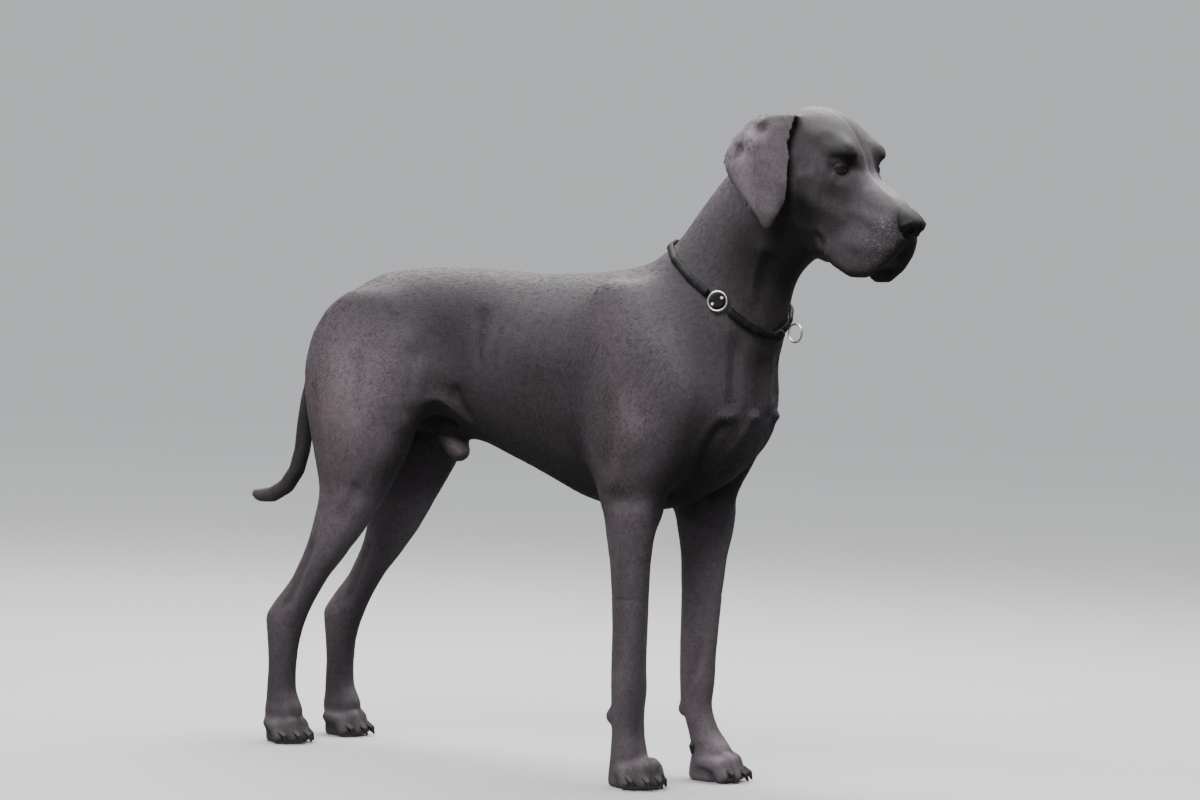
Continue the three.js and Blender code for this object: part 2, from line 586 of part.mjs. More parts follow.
// Legs and paws
const SIDES = [
  { side: -1, word: 'right', foreStep: 0, hindStep: 0 },
  { side: 1, word: 'left', foreStep: LEFT_FORE_STEP, hindStep: LEFT_HIND_STEP },
];
const LEG_CUT = [300, 150]; // length and width of the cut through one leg
const flanks = [];
for (const { side, word, foreStep, hindStep } of SIDES) {
  const forePlace = pawPlace(side, foreStep + 2, FORE_STANCE - 2, TOE_OUT);
  const foreClaws = TOES.map(toe => clawForm(toe, forePlace));
  const dewclaw = dewclawForm(side, foreStep);
  const foreAll = withToes(forelegForm(side, foreStep), forePlace);
  const [forepaw, forearm] = partAt(foreAll, [foreStep, mirrorY(side, FORE_STANCE), FORE_CUT_Z], 0, LEG_CUT);
  add(`forearm_${word}`, forearm, coat);
  add(`forepaw_${word}`, forepaw, coat);
  addClaws(`fore_claw_${word}`, foreClaws, forepaw, THREE.MathUtils.degToRad(side * TOE_OUT));
  add(`dewclaw_${word}`, dewclaw.subtract(forepaw), horn, new THREE.Vector3(0, -side * GAP, 0));
  const shoulder = shoulderForm(side, foreStep).subtract(forelegForm(side, foreStep, GAP));
  add(`shoulder_${word}`, shoulder, coat);

  const hindPlace = pawPlace(side, HIND_FOOT_X + 12 + hindStep, HIND_STANCE, HIND_TOE_OUT);
  const hindClaws = TOES.map(toe => clawForm(toe, hindPlace, HIND_PAW_SCALE));
  const hindAll = withToes(hindlegForm(side, hindStep), hindPlace, HIND_PAW_SCALE);
  const hockCut = [-725 + hindStep / 2, mirrorY(side, HIND_STANCE), HOCK_CUT_Z];
  const [below, gaskin] = partAt(hindAll, hockCut, -0.2, LEG_CUT);
  const pawCut = [HIND_FOOT_X + hindStep, mirrorY(side, HIND_STANCE), HIND_CUT_Z];
  const [hindpaw, pastern] = partAt(below, pawCut, 0, LEG_CUT);
  add(`lower_hindleg_${word}`, gaskin, coat);
  add(`hind_pastern_${word}`, pastern, coat);
  add(`hindpaw_${word}`, hindpaw, coat);
  addClaws(`hind_claw_${word}`, hindClaws, hindpaw, THREE.MathUtils.degToRad(side * HIND_TOE_OUT));
  add(`thigh_${word}`, thighForm(side).subtract(hindlegForm(side, hindStep, GAP)), coat);
  flanks.push(shoulderForm(side, foreStep, GAP), thighForm(side, GAP), forelegForm(side, foreStep, GAP));
}

// Head
const eyes = [-1, 1].map(side => eyeForm(side));
let head = join(skullForm(), ...[-1, 1].flatMap(side => [flewForm(side), browForm(side)]));
head = head.subtract(jawForm(GAP)).subtract(noseForm(GAP));
for (const side of [-1, 1]) head = head.subtract(orbitForm(side));
for (const side of [-1, 1]) head = head.subtract(eyeForm(side, GAP));
const earCut = join(skullForm(GAP), neckForm(GAP));
add('head', head, coat);
add('lower_jaw', jawForm(), coatDark);
add('nose', noseForm(), noseSkin);
add('eye_right', eyes[0], iris);
add('eye_left', eyes[1], iris);
add('ear_right', earForm(-1).subtract(earCut), earCoat);
add('ear_left', earForm(1).subtract(earCut), earCoat);

// Neck and trunk
const NECK_CUT = { centre: [70, 0, 790], turn: 0.62 };
const neckHole = skullForm(GAP);
const neckAndTrunk = join(neckForm(), trunkForm());
const [trunkWhole, neckWhole] = partAt(neckAndTrunk, NECK_CUT.centre, NECK_CUT.turn, [520, 400]);
add('neck', neckWhole.subtract(neckHole).subtract(jawForm(GAP)), coat);
let trunk = flanks.reduce((rest, flank) => rest.subtract(flank), trunkWhole);
trunk = trunk.subtract(tailForm(GAP)).subtract(sheathForm(GAP)).subtract(scrotumForm(GAP));
add('trunk', trunk, coat);
add('tail', tailForm(), coatDark);
add('sheath', sheathForm(), coatDark);
add('scrotum', scrotumForm(), coatDark);

// Collar
const sideSpot = strapAt(SIDE_RING_AT);
const sidePlace = facingPlace(sideSpot.point, sideSpot.normal);
const leadPlace = facingPlace(new THREE.Vector3(...LEAD_RING_AT), new THREE.Vector3(...LEAD_RING_AXIS));
const sliderSpot = strapAt(SLIDER_AT);
const sliderPlace = facingPlace(sliderSpot.point, sliderSpot.normal);
const sliderForm = grow => ball([0, 0, 1], SLIDER_RADII, { around: 8, along: 6, grow, place: sliderPlace });
const backStrap = strapForm(SLIDER_AT, 1 + SIDE_RING_AT - BACK_STRAP_SHORT, 12);
const frontStrap = strapForm(SIDE_RING_AT + FRONT_STRAP_SHORT, SLIDER_AT, 5);
const neckAndSlider = join(neckForm(GAP), sliderForm(GAP));
add('strap_back', backStrap.subtract(neckAndSlider), leather);
add('strap_front', frontStrap.subtract(neckAndSlider), leather);
add('slider', sliderForm(0).subtract(neckForm(GAP)), leather);
add('side_ring', ringForm(RING_RADIUS, sidePlace), chrome);
add('side_patch', discForm(PATCH_RADIUS, PATCH_THICKNESS, 12, [0, 0, -1.5], sidePlace), leather);
RIVET_SPOTS.forEach(([x, y], i) => {
  const rivet = discForm(RIVET_RADIUS, RIVET_HEIGHT, 6, [x, y, 1.65], sidePlace);
  add(`rivet_${i + 1}`, rivet, chrome);
});
add('lead_ring', ringForm(RING_RADIUS - 1, leadPlace), chrome);

// Origin: the middle of the floor under the dog
dog.updateMatrixWorld(true);
const bounds = new THREE.Box3().setFromObject(dog);
const middle = bounds.getCenter(new THREE.Vector3());
dog.position.set(-middle.x, -middle.y, -bounds.min.z);

export default dog;
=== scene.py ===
import math

import bmesh
import bpy
import numpy as np
from mathutils import Matrix, Vector
from mathutils.bvhtree import BVHTree


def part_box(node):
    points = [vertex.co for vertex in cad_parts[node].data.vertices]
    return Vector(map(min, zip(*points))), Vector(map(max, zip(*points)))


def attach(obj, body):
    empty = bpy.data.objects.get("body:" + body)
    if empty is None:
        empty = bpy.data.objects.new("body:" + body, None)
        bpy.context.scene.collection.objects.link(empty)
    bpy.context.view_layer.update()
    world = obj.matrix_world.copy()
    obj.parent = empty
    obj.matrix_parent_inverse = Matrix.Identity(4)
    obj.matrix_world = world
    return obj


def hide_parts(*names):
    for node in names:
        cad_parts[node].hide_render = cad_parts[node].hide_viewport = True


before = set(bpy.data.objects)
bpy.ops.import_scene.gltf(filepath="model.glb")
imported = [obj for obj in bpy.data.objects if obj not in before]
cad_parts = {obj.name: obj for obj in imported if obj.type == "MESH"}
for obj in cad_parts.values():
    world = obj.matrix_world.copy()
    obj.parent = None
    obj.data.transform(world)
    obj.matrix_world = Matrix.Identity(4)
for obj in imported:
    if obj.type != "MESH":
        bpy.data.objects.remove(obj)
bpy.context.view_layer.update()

# Hide: a short-haired dog wears one skin, so a single closed surface stands for all its flesh.
# It is cast round the solids and drawn smooth over muscle and bone, like clay over an armature.
MM = 0.001
MERGE = 0.01 * MM
SIDES = {"right": -1, "left": 1}
BODY_REACH = {"trunk": 28, "neck": 19, "tail": 6, "sheath": 7, "scrotum": 6, "head": 8, "lower_jaw": 6}
LIMB_REACH = {
    "shoulder": 22, "forearm": 8, "forepaw": 7, "thigh": 18, "lower_hindleg": 8,
    "hind_pastern": 7, "hindpaw": 7, "ear": 5.5, "eye": 6,
}
reach_of = {node: reach * MM for node, reach in BODY_REACH.items()}
reach_of.update({f"{part}_{side}": reach * MM for part, reach in LIMB_REACH.items() for side in SIDES})


def mesh_of(shape, name):
    """A new mesh made of a bmesh, which is freed."""
    mesh = bpy.data.meshes.new(name)
    shape.to_mesh(mesh)
    shape.free()
    return mesh


def in_scene(name, data):
    """A new object of the scene that shows the given data."""
    thing = bpy.data.objects.new(name, data)
    bpy.context.collection.objects.link(thing)
    return thing


def mesh_shown_by(thing):
    """The mesh that an object shows once its modifiers are applied. The object goes."""
    view = bpy.context.evaluated_depsgraph_get()
    mesh = bpy.data.meshes.new_from_object(thing.evaluated_get(view))
    bpy.data.objects.remove(thing)
    return mesh


def rows_of(items, name, width, kind=np.float32):
    """One property of all the given items of a mesh, as an array with a row for each."""
    flat = np.empty(len(items) * width, kind)
    items.foreach_get(name, flat)
    return flat.reshape(-1, width)


def solid_copy(node, swell):
    """A merged copy of a CAD node, grown along its normals."""
    part = bmesh.new()
    part.from_mesh(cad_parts[node].data)
    bmesh.ops.remove_doubles(part, verts=part.verts, dist=MERGE)
    part.normal_update()
    moved = [vert.co + vert.normal * swell for vert in part.verts]
    for vert, place in zip(part.verts, moved):
        vert.co = place
    return mesh_of(part, node)


def with_modifier(mesh, kind, **settings):
    """A new mesh: the given one with one modifier applied."""
    thing = in_scene(mesh.name, mesh)
    modifier = thing.modifiers.new(kind, kind)
    for name, value in settings.items():
        setattr(modifier, name, value)
    return mesh_shown_by(thing)


def cast_round(meshes, grain):
    """One closed mesh round all the given ones, made of voxels of one size."""
    joined = bmesh.new()
    for mesh in meshes:
        joined.from_mesh(mesh)
    return with_modifier(mesh_of(joined, "flesh"), "REMESH", mode="VOXEL", voxel_size=grain)


def ramp(values, low, high):
    """0 below low and 1 above high, with a smooth rise between them."""
    part = np.clip((values - low) / (high - low), 0, 1)
    return part * part * (3 - 2 * part)


def curve_through(points, steps=7):
    """Close places along a smooth curve through the given points."""
    points = np.array(points, float)
    ends = np.concatenate([2 * points[:1] - points[1:2], points, 2 * points[-1:] - points[-2:-1]])
    along = np.linspace(0, 1, steps, endpoint=False)[:, None]
    runs = []
    for one, two, three, four in zip(ends, ends[1:], ends[2:], ends[3:]):
        bend = 2 * one - 5 * two + 4 * three - four
        twist = 3 * two - one - 3 * three + four
        runs.append(two + 0.5 * along * ((three - one) + along * (bend + along * twist)))
    return np.concatenate(runs + [points[-1:]])


class Clay:
    """A closed mesh held as arrays, so that it can be drawn smooth, creased and swollen.

    PULL is how far each round of smoothing takes a vertex to the mean of its neighbours.
    SPAN is how many widths from its middle a stroke still counts.
    """

    PULL = 0.95
    SPAN = 3

    def __init__(self, mesh, grain):
        self.mesh = mesh
        self.grain = grain
        self.read()

    def read(self):
        mesh = self.mesh
        self.spots = rows_of(mesh.vertices, "co", 3).astype(float)
        pairs = rows_of(mesh.edges, "vertices", 2, np.int32)
        both = np.concatenate([pairs, pairs[:, ::-1]])
        both = both[np.argsort(both[:, 0], kind="stable")]
        self.ends = both[:, 1]
        self.starts = np.searchsorted(both[:, 0], np.arange(len(mesh.vertices)))
        self.count = np.diff(np.append(self.starts, len(both)))[:, None]

    def write(self):
        self.mesh.vertices.foreach_set("co", self.spots.astype(np.float32).ravel())
        self.mesh.update()

    def normals(self):
        return rows_of(self.mesh.vertex_normals, "vector", 3).astype(float)

    def spread(self, values, reach):
        """Spreads values over the surface by a distance, given as a number or for each vertex."""
        reach = np.broadcast_to(reach, len(values))
        rounds = math.ceil(2 * (reach.max() / self.grain) ** 2 / self.PULL)
        pull = (self.PULL * (reach / reach.max()) ** 2)[:, None]
        for _ in range(rounds):
            mean = np.add.reduceat(values[self.ends], self.starts, axis=0) / self.count
            values = values + pull * (mean - values)
        return values

    def draw_smooth(self, reach):
        """Smooths without shrinking: what a first pass takes away is smoothed and given back."""
        soft = self.spread(self.spots, reach)
        self.spots = soft + self.spread(self.spots - soft, reach)
        self.write()

    def ready(self):
        """Notes the surface as it is, for the strokes that follow."""
        self.facing = self.normals()
        self.lift = np.zeros(len(self.spots))
        faces = bmesh.new()
        faces.from_mesh(self.mesh)
        self.tree = BVHTree.FromBMesh(faces)
        faces.free()

    def onto(self, points):
        """The nearest places on the surface and its normals there."""
        hits = [self.tree.find_nearest(Vector(point)) for point in points]
        return np.array([hit[0] for hit in hits]), np.array([hit[1] for hit in hits])

    def within(self, low, high):
        return np.nonzero(((self.spots > low) & (self.spots < high)).all(1))[0]

    def stroke(self, points, width, height, ends=0.25):
        """Raises a ridge, or presses a groove where height is negative, along a curve on the surface."""
        line, outwards = self.onto(curve_through(points))
        span = self.SPAN * width
        near = self.within(line.min(0) - span, line.max(0) + span)
        start, run = line[:-1], np.diff(line, axis=0)
        length = np.maximum((run ** 2).sum(1), 1e-12)
        gap = self.spots[near][:, None] - start
        part = np.clip((gap * run).sum(2) / length, 0, 1)
        distance = np.linalg.norm(gap - part[..., None] * run, axis=2)
        nearest = distance.argmin(1)
        rows = np.arange(len(near))
        along = (nearest + part[rows, nearest]) / len(run)
        fade = ramp(np.minimum(along, 1 - along), 0, ends)
        same_side = np.clip(2 * (outwards[nearest] * self.facing[near]).sum(1), 0, 1)
        self.lift[near] += height * fade * same_side * np.exp(-((distance[rows, nearest] / width) ** 2))

    def swelling(self, centre, radii, height, axes=np.eye(3)):
        """Raises or sinks an oval patch of the surface."""
        (centre,), (outwards,) = self.onto([centre])
        span = max(radii) * self.SPAN
        near = self.within(centre - span, centre + span)
        offset = ((self.spots[near] - centre) @ axes.T) / np.array(radii)
        same_side = np.clip(2 * (self.facing[near] @ outwards), 0, 1)
        self.lift[near] += height * same_side * np.exp(-(offset ** 2).sum(1))

    def press(self, soften):
        """Moves the surface by all the strokes made since it was ready."""
        self.spots = self.spots + self.facing * self.lift[:, None]
        self.draw_smooth(soften)


flesh_faces = bmesh.new()
face_reach = []
for node, reach in reach_of.items():
    flesh_faces.from_mesh(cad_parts[node].data)
    face_reach += [reach] * (len(flesh_faces.faces) - len(face_reach))
flesh_tree = BVHTree.FromBMesh(flesh_faces)
face_reach = np.array(face_reach)
flesh_faces.free()


def reach_at(spots):
    """How far the flesh of the nearest node is drawn smooth, at each spot."""
    nearest = [flesh_tree.find_nearest(spot)[2] for spot in spots.tolist()]
    return face_reach[nearest][:, None]


# The solids swell a little, so that they meet over the thin cuts between them.
COARSE, FINE = 5 * MM, 2.3 * MM
JOINING, BLENDING, FINE_BLENDING, MOST_FINE_REACH = 0.6 * MM, 12 * MM, 6 * MM, 8 * MM
body_nodes = [node for node in reach_of if not node.startswith("ear")]
body = Clay(cast_round([solid_copy(node, JOINING) for node in body_nodes], COARSE), COARSE)
body_reach = body.spread(reach_at(body.spots), BLENDING)[:, 0]
withers = ramp(body.spots[:, 0], 0.02, 0.1) * ramp(-body.spots[:, 0], -0.36, -0.28)
withers *= ramp(body.spots[:, 2], 0.68, 0.78)
ELBOW_HEIGHT, ELBOW_BAND = 475, 40
elbows = np.exp(-(((body.spots[:, 2] / MM - ELBOW_HEIGHT) / ELBOW_BAND) ** 2))
elbows = elbows * ramp(body.spots[:, 0], 0.08, 0.14)
WITHERS_FILL, ELBOW_FILL = 14 * MM, 11 * MM
body.draw_smooth(body_reach + WITHERS_FILL * withers + ELBOW_FILL * elbows)

# Where the flesh is thin the coarse body steps back, under the finer solids that are laid over it next.
THIN_REACH, THIN_BAND, STEP_BACK = 9.5 * MM, 4 * MM, 3
thin_flesh = np.clip((THIN_REACH - body_reach) / THIN_BAND, 0, 1)
body.spots -= body.normals() * (thin_flesh * STEP_BACK * MM)[:, None]
body.write()

# The head's own directions: millimetres ahead of, beside and above the point midway between the eyes.
eye_middle = {side: np.mean(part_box(f"eye_{side}"), axis=0) for side in SIDES}
between_eyes = (eye_middle["right"] + eye_middle["left"]) / 2
head_left = eye_middle["left"] - between_eyes
head_left /= np.linalg.norm(head_left)
head_up = np.array((0.0, 0.0, 1.0))
head_ahead = np.cross(head_left, head_up)
head_axes = np.stack([head_ahead, head_left, head_up])


def in_head(points, side=1):
    """Points of the head in the row frame, on its left with side 1 and on its right with side -1."""
    return between_eyes + (np.array(points, float) * (1, side, 1) * MM) @ head_axes


def head_places(spots):
    return (spots - between_eyes) @ head_axes.T / MM


def ear_zone(spots):
    """1 on the hanging ears, 0 elsewhere."""
    ahead, aside, above = head_places(spots).T
    zone = ramp(np.abs(aside), 66, 74) * ramp(ahead, -230, -200)
    return zone * ramp(above, -130, -110) * ramp(20 - ahead, 0, 20)


detail_swell = {
    "head": -0.3, "lower_jaw": -0.3, "tail": -0.3, "sheath": 3, "ear_right": 1.5, "ear_left": 1.5,
}
fine_parts = ("forepaw", "hindpaw", "eye")
detail_swell.update({f"{part}_{side}": -0.3 for part in fine_parts for side in SIDES})
solids = [solid_copy(node, swell * MM) for node, swell in detail_swell.items()]
hide = Clay(cast_round([body.mesh] + solids, FINE), FINE)
hide_reach = hide.spread(reach_at(hide.spots), FINE_BLENDING)[:, 0]
hide_reach = np.minimum(hide_reach, MOST_FINE_REACH)
ahead, aside, above = head_places(hide.spots).T
skull = ramp(above, -30, 0) * ramp(ahead, -140, -110) * ramp(60 - ahead, 0, 30)
skull = skull * (1 - ear_zone(hide.spots))
SKULL_FILL, CROWN_FILL = 3, 8
hide_reach += (skull * SKULL_FILL + skull * ramp(above, 12, 34) * CROWN_FILL) * MM
hide.draw_smooth(hide_reach)

# Muscle and bone: creases, ridges and swellings of the body, pressed into the hide along its normals.
# Places are millimetres in the row frame, taken on the dog's right side and repeated on its left.
# A stroke is (the legs it steps ahead with, width, height, places); a swelling has a centre and radii.
hide.ready()


def on_both(points, far_shift=(0, 0, 0)):
    """The points in metres on the dog's right side and, mirrored and shifted, on its left."""
    near = np.array(points, float) * MM
    return [near, near * (1, -1, 1) + np.array(far_shift) * MM]


fore_step = (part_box("forepaw_left")[0][0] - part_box("forepaw_right")[0][0]) / MM
hind_step = (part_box("hindpaw_left")[0][0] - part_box("hindpaw_right")[0][0]) / MM
FORE, HIND, BODY = (fore_step, 0, 0), (hind_step, 0, 0), (0, 0, 0)
BODY_STROKES = [
    (BODY, 18, -2.4, [(176, -128, 655), (172, -140, 600), (168, -138, 545), (160, -126, 490)]),
    (BODY, 15, 2.8, [(196, -132, 660), (200, -143, 590), (196, -140, 520), (180, -128, 472)]),
    (BODY, 24, 2, [(170, -60, 852), (205, -90, 810), (250, -110, 745), (290, -112, 690)]),
    (BODY, 19, -1.6, [(196, -70, 825), (228, -100, 775), (262, -115, 715)]),
    (BODY, 14, -2.5, [(236, -140, 640), (246, -140, 575), (238, -136, 520)]),
    (BODY, 10, -5.5, [(362, -60, 760), (366, -66, 700), (367, -70, 650), (364, -68, 615)]),
    (BODY, 10, -4.2, [(362, -68, 612), (338, -74, 586), (311, -70, 546), (277, -51, 502)]),
    (BODY, 10, 2.6, [(360, -74, 622), (340, -84, 596), (316, -84, 560), (284, -70, 516)]),
    (BODY, 9, 3.5, [(388, -26, 628), (380, -36, 604), (340, -42, 552), (284, -34, 500)]),
    (BODY, 9, -3, [(392, -26, 720), (392, -24, 670), (388, -26, 632)]),
    (BODY, 12, -5, [(-184, -84, 640), (-170, -72, 606), (-156, -54, 572)]),
    (BODY, 9, 4, [(-246, -92, 606), (-216, -76, 612), (-184, -62, 594), (-156, -52, 560)]),
    (BODY, 13, -13, [(-290, -50, 545), (-256, -52, 566), (-224, -46, 570), (-192, -36, 556)]),
    (BODY, 13, -3.5, [(-128, -70, 775), (-128, -88, 741), (-126, -93, 700), (-118, -94, 660)]),
    (BODY, 16, -4.5, [(-248, -96, 720), (-258, -108, 665), (-264, -111, 605), (-262, -104, 560)]),
    (BODY, 10, -1.7, [(-455, -108, 640), (-449, -113, 600), (-442, -114, 551), (-428, -113, 499)]),
    (BODY, 12, -2.5, [(-360, -100, 690), (-352, -112, 620), (-356, -112, 560)]),
    (HIND, 8, -4.5, [(-448, -105, 372), (-472, -102, 320), (-500, -99, 262), (-522, -98, 226)]),
    (HIND, 7, 2.5, [(-440, -100, 352), (-464, -100, 300), (-490, -99, 240), (-506, -96, 200)]),
    (HIND, 8, -3.5, [(-450, -62, 352), (-472, -62, 312), (-496, -62, 262), (-516, -62, 228)]),
    (HIND, 7, -2.5, [(-350, -112, 470), (-372, -112, 430), (-404, -110, 395)]),
    (FORE, 8, -3.2, [(206, -66, 245), (190, -64, 186), (172, -66, 131)]),
    (FORE, 7, 2.5, [(220, -68, 240), (204, -64, 180), (188, -64, 136)]),
    (FORE, 9, -2.5, [(200, -124, 400), (196, -118, 320), (190, -112, 230), (186, -108, 170)]),
    (FORE, 3.5, -1.0, [(178, -110, 307), (198, -117, 309), (232, -98, 311)]),
    (BODY, 9, 3.5, [(404, -54, 905), (396, -54, 868), (387, -53, 822), (380, -55, 786)]),
    (BODY, 16, -2.6, [(414, -44, 884), (404, -44, 850), (396, -42, 806)]),
]
for shift, width, height, points in BODY_STROKES:
    for line in on_both(points, shift):
        hide.stroke(line, width * MM, height * MM)

RIBS, RIB_GAP, RIB_WIDTH = 5, 34, 10
RIB_RISE, RIB_DIP = 1.0, -0.7
FIRST_RIB = [(-66, -60, 792), (-92, -90, 745), (-106, -100, 690), (-100, -100, 640)]
for rib in range(RIBS):
    fade = 1 - rib / RIBS
    for line in on_both(np.array(FIRST_RIB) + (RIB_GAP * rib, 0, 0)):
        hide.stroke(line, RIB_WIDTH * MM, RIB_RISE * fade * MM)
        between = line + np.array((RIB_GAP / 2 * MM, 0, 0))
        hide.stroke(between, RIB_WIDTH * MM, RIB_DIP * fade * MM)

BODY_SWELLINGS = [
    (BODY, (-421, -122, 618), (22, 16, 40), -1.6),
    (BODY, (-300, -112, 505), (34, 20, 40), 4),
    (BODY, (150, -112, 470), (20, 14, 24), 4),
    (BODY, (225, -140, 590), (30, 20, 60), 4),
    (BODY, (-200, -80, 700), (38, 20, 44), -6),
    (BODY, (110, -60, 832), (40, 34, 26), 2.5),
    (BODY, (205, -132, 502), (44, 20, 22), 3.0),
    (FORE, (205, -134, 466), (40, 20, 16), -2.5),
    (BODY, (361, -71, 614), (12, 11, 11), 5),
    (BODY, (386, -32, 615), (8, 8, 8), 5),
    (FORE, (180, -64, 126), (12, 9, 14), -2.5),
    (FORE, (246, -88, 52), (18, 28, 20), 8),
    (FORE, (226, -112, 62), (18, 14, 30), 4),
    (HIND, (-498, -78, 60), (18, 24, 26), 8),
    (HIND, (-470, -104, 332), (20, 12, 34), -3),
]
for shift, centre, radii, height in BODY_SWELLINGS:
    for spot in on_both([centre], shift):
        hide.swelling(spot[0], np.array(radii) * MM, height * MM)
breastbone = np.array([(398, 0, 730), (394, 0, 680), (392, 0, 640), (386, 0, 612)]) * MM
hide.stroke(breastbone, 9 * MM, 4.5 * MM)

# Face: the furrow between the brows, cheek bones, bridge, lips and the dents of the ears.
# Strokes are (width, height, places) and swellings (centre, radii, height) in the head's millimetres.
FACE_STROKES = [
    (11, 2.2, [(-34, 62, 32), (-10, 60, 32), (10, 52, 29), (22, 40, 25)]),
    (5.5, -2.6, [(-16, 60, 12), (2, 58, 16), (17, 48, 16), (26, 35, 10)]),
    (7, 0.8, [(-22, 64, 6), (-12, 62, -8), (4, 56, -16), (20, 44, -18)]),
    (5, -0.8, [(-14, 62, -10), (0, 58, -17), (16, 48, -20), (28, 38, -20)]),
    (20, -2.2, [(14, 52, -34), (-8, 61, -38), (-24, 66, -38)]),
    (5.5, 3.2, [(12, 10, 42), (24, 10, 22), (34, 10, -2), (52, 12, -21), (72, 14, -36), (98, 14, -52)]),
    (9, -3.4, [(26, 24, 12), (36, 24, -10), (52, 28, -30)]),
    (12, 2.4, [(-70, 64, -14), (-44, 68, -10), (-24, 68, -8)]),
    (11, 1.8, [(10, 52, -62), (39, 42, -70), (70, 36, -84), (92, 30, -92)]),
    (12, -1.2, [(30, 40, -50), (60, 34, -62), (84, 26, -74)]),
    (6, -2.2, [(-38, 60, -96), (-24, 58, -124), (-28, 42, -146)]),
    (7, 1.6, [(-26, 60, -88), (-13, 58, -118), (-16, 46, -144)]),
    (9, -1.0, [(-8, 54, -104), (22, 50, -128), (52, 44, -138)]),
    (6, -0.8, [(70, 38, -112), (90, 34, -112), (104, 26, -108)]),
]
for width, height, points in FACE_STROKES:
    for side in (-1, 1):
        hide.stroke(in_head(points, side), width * MM, height * MM)
furrow = [(-80, 0, 102), (-50, 0, 92), (-14, 0, 70), (12, 0, 42), (24, 0, 20)]
hide.stroke(in_head(furrow), 6 * MM, -2.6 * MM)
FACE_SWELLINGS = [
    ((84, 28, -104), (26, 14, 22), 3.0),
    ((40, 42, -120), (38, 16, 28), 2.4),
    ((-40, 66, -50), (34, 16, 34), 3.0),
    ((8, 46, 40), (34, 26, 22), 3.8),
    ((-28, 56, 52), (22, 18, 16), 4.0),
    ((34, 0, -2), (12, 12, 16), -2.0),
    ((-131, 84, 59), (16, 9, 12), -7.0),
    ((-166, 88, 26), (10, 9, 12), -7.0),
    ((-146, 86, 44), (10, 8, 16), 3.5),
    ((-116, 90, 2), (12, 8, 28), 1.5),
    ((-100, 90, -46), (16, 8, 22), -1.5),
]
for centre, radii, height in FACE_SWELLINGS:
    for side in (-1, 1):
        hide.swelling(in_head(centre, side), np.array(radii) * MM, height * MM, head_axes)
hide.press(2.2 * MM)

# Eyelids: loose skin that closes round each eyeball to an almond opening, thickest above.
# The hide is cut finer there and laid on the eyeball; inside the opening it runs behind it.
# Openings and folds are in degrees, seen from the middle of the eyeball.
GAZE_OUT = math.radians(42)
EYE_RADIUS = (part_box("eye_right")[1][2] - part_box("eye_right")[0][2]) / 2
LID, BEHIND = 1.3 * MM, 3 * MM
HALF_OPENING, UPPER_LID, LOWER_LID = 47, 15, -23
FOLD_HEIGHT, FOLD_AT, FOLD_BAND = 1.1 * MM, 9, 5
CUT_FINER = (19 * MM, 16.5 * MM)


def eye_frame(side):
    """The directions of one eye: where it looks, and across towards the ear."""
    gaze = head_ahead * math.cos(GAZE_OUT) + head_left * side * math.sin(GAZE_OUT)
    outer = -head_ahead * math.sin(GAZE_OUT) + head_left * side * math.cos(GAZE_OUT)
    return gaze, outer


def lid_edges(turn):
    """Heights in degrees of the upper and the lower lid, at a turn from the eye's middle."""
    open_part = np.clip(1 - (turn / HALF_OPENING) ** 2, 0, 1) ** 0.7
    return UPPER_LID * open_part - 1, LOWER_LID * open_part - 1


finer = bmesh.new()
finer.from_mesh(hide.mesh)
for zone in CUT_FINER:
    for side in SIDES:
        centre = Vector(eye_middle[side])
        close = {vert for vert in finer.verts if (vert.co - centre).length < zone}
        edges = {edge for vert in close for edge in vert.link_edges if edge.other_vert(vert) in close}
        bmesh.ops.subdivide_edges(finer, edges=list(edges), cuts=1, use_grid_fill=True)
finer.to_mesh(hide.mesh)
finer.free()
hide.read()
for side, sign in SIDES.items():
    gaze, outer = eye_frame(sign)
    near = hide.within(eye_middle[side] - 30 * MM, eye_middle[side] + 30 * MM)
    away = hide.spots[near] - eye_middle[side]
    distance = np.linalg.norm(away, axis=1)
    away /= distance[:, None]
    turn = np.degrees(np.arctan2(away @ outer, away @ gaze))
    rise = np.degrees(np.arcsin(away @ head_up))
    upper, lower = lid_edges(turn)
    inside = np.minimum(upper - rise, rise - lower)
    past_corner = np.abs(turn) - HALF_OPENING
    beyond = np.where(past_corner > 0, -np.hypot(past_corner, rise), inside)
    fold = FOLD_HEIGHT * np.exp(-(((beyond + FOLD_AT) / FOLD_BAND) ** 2)) * (rise > 0)
    lid = EYE_RADIUS + LID + fold
    shell = lid + (EYE_RADIUS - BEHIND - lid) * ramp(beyond, -2.5, 2.5)
    outside = np.maximum(ramp(-beyond, 14, 44), ramp(-(away @ gaze), -0.35, 0.1))
    outside = np.maximum(outside, ramp(distance, 20 * MM, 28 * MM))
    hide.spots[near] = eye_middle[side] + away * (shell + (distance - shell) * outside)[:, None]
SOLE = 0.4 * MM
hide.spots[:, 2] = np.maximum(hide.spots[:, 2], SOLE)
hide.write()

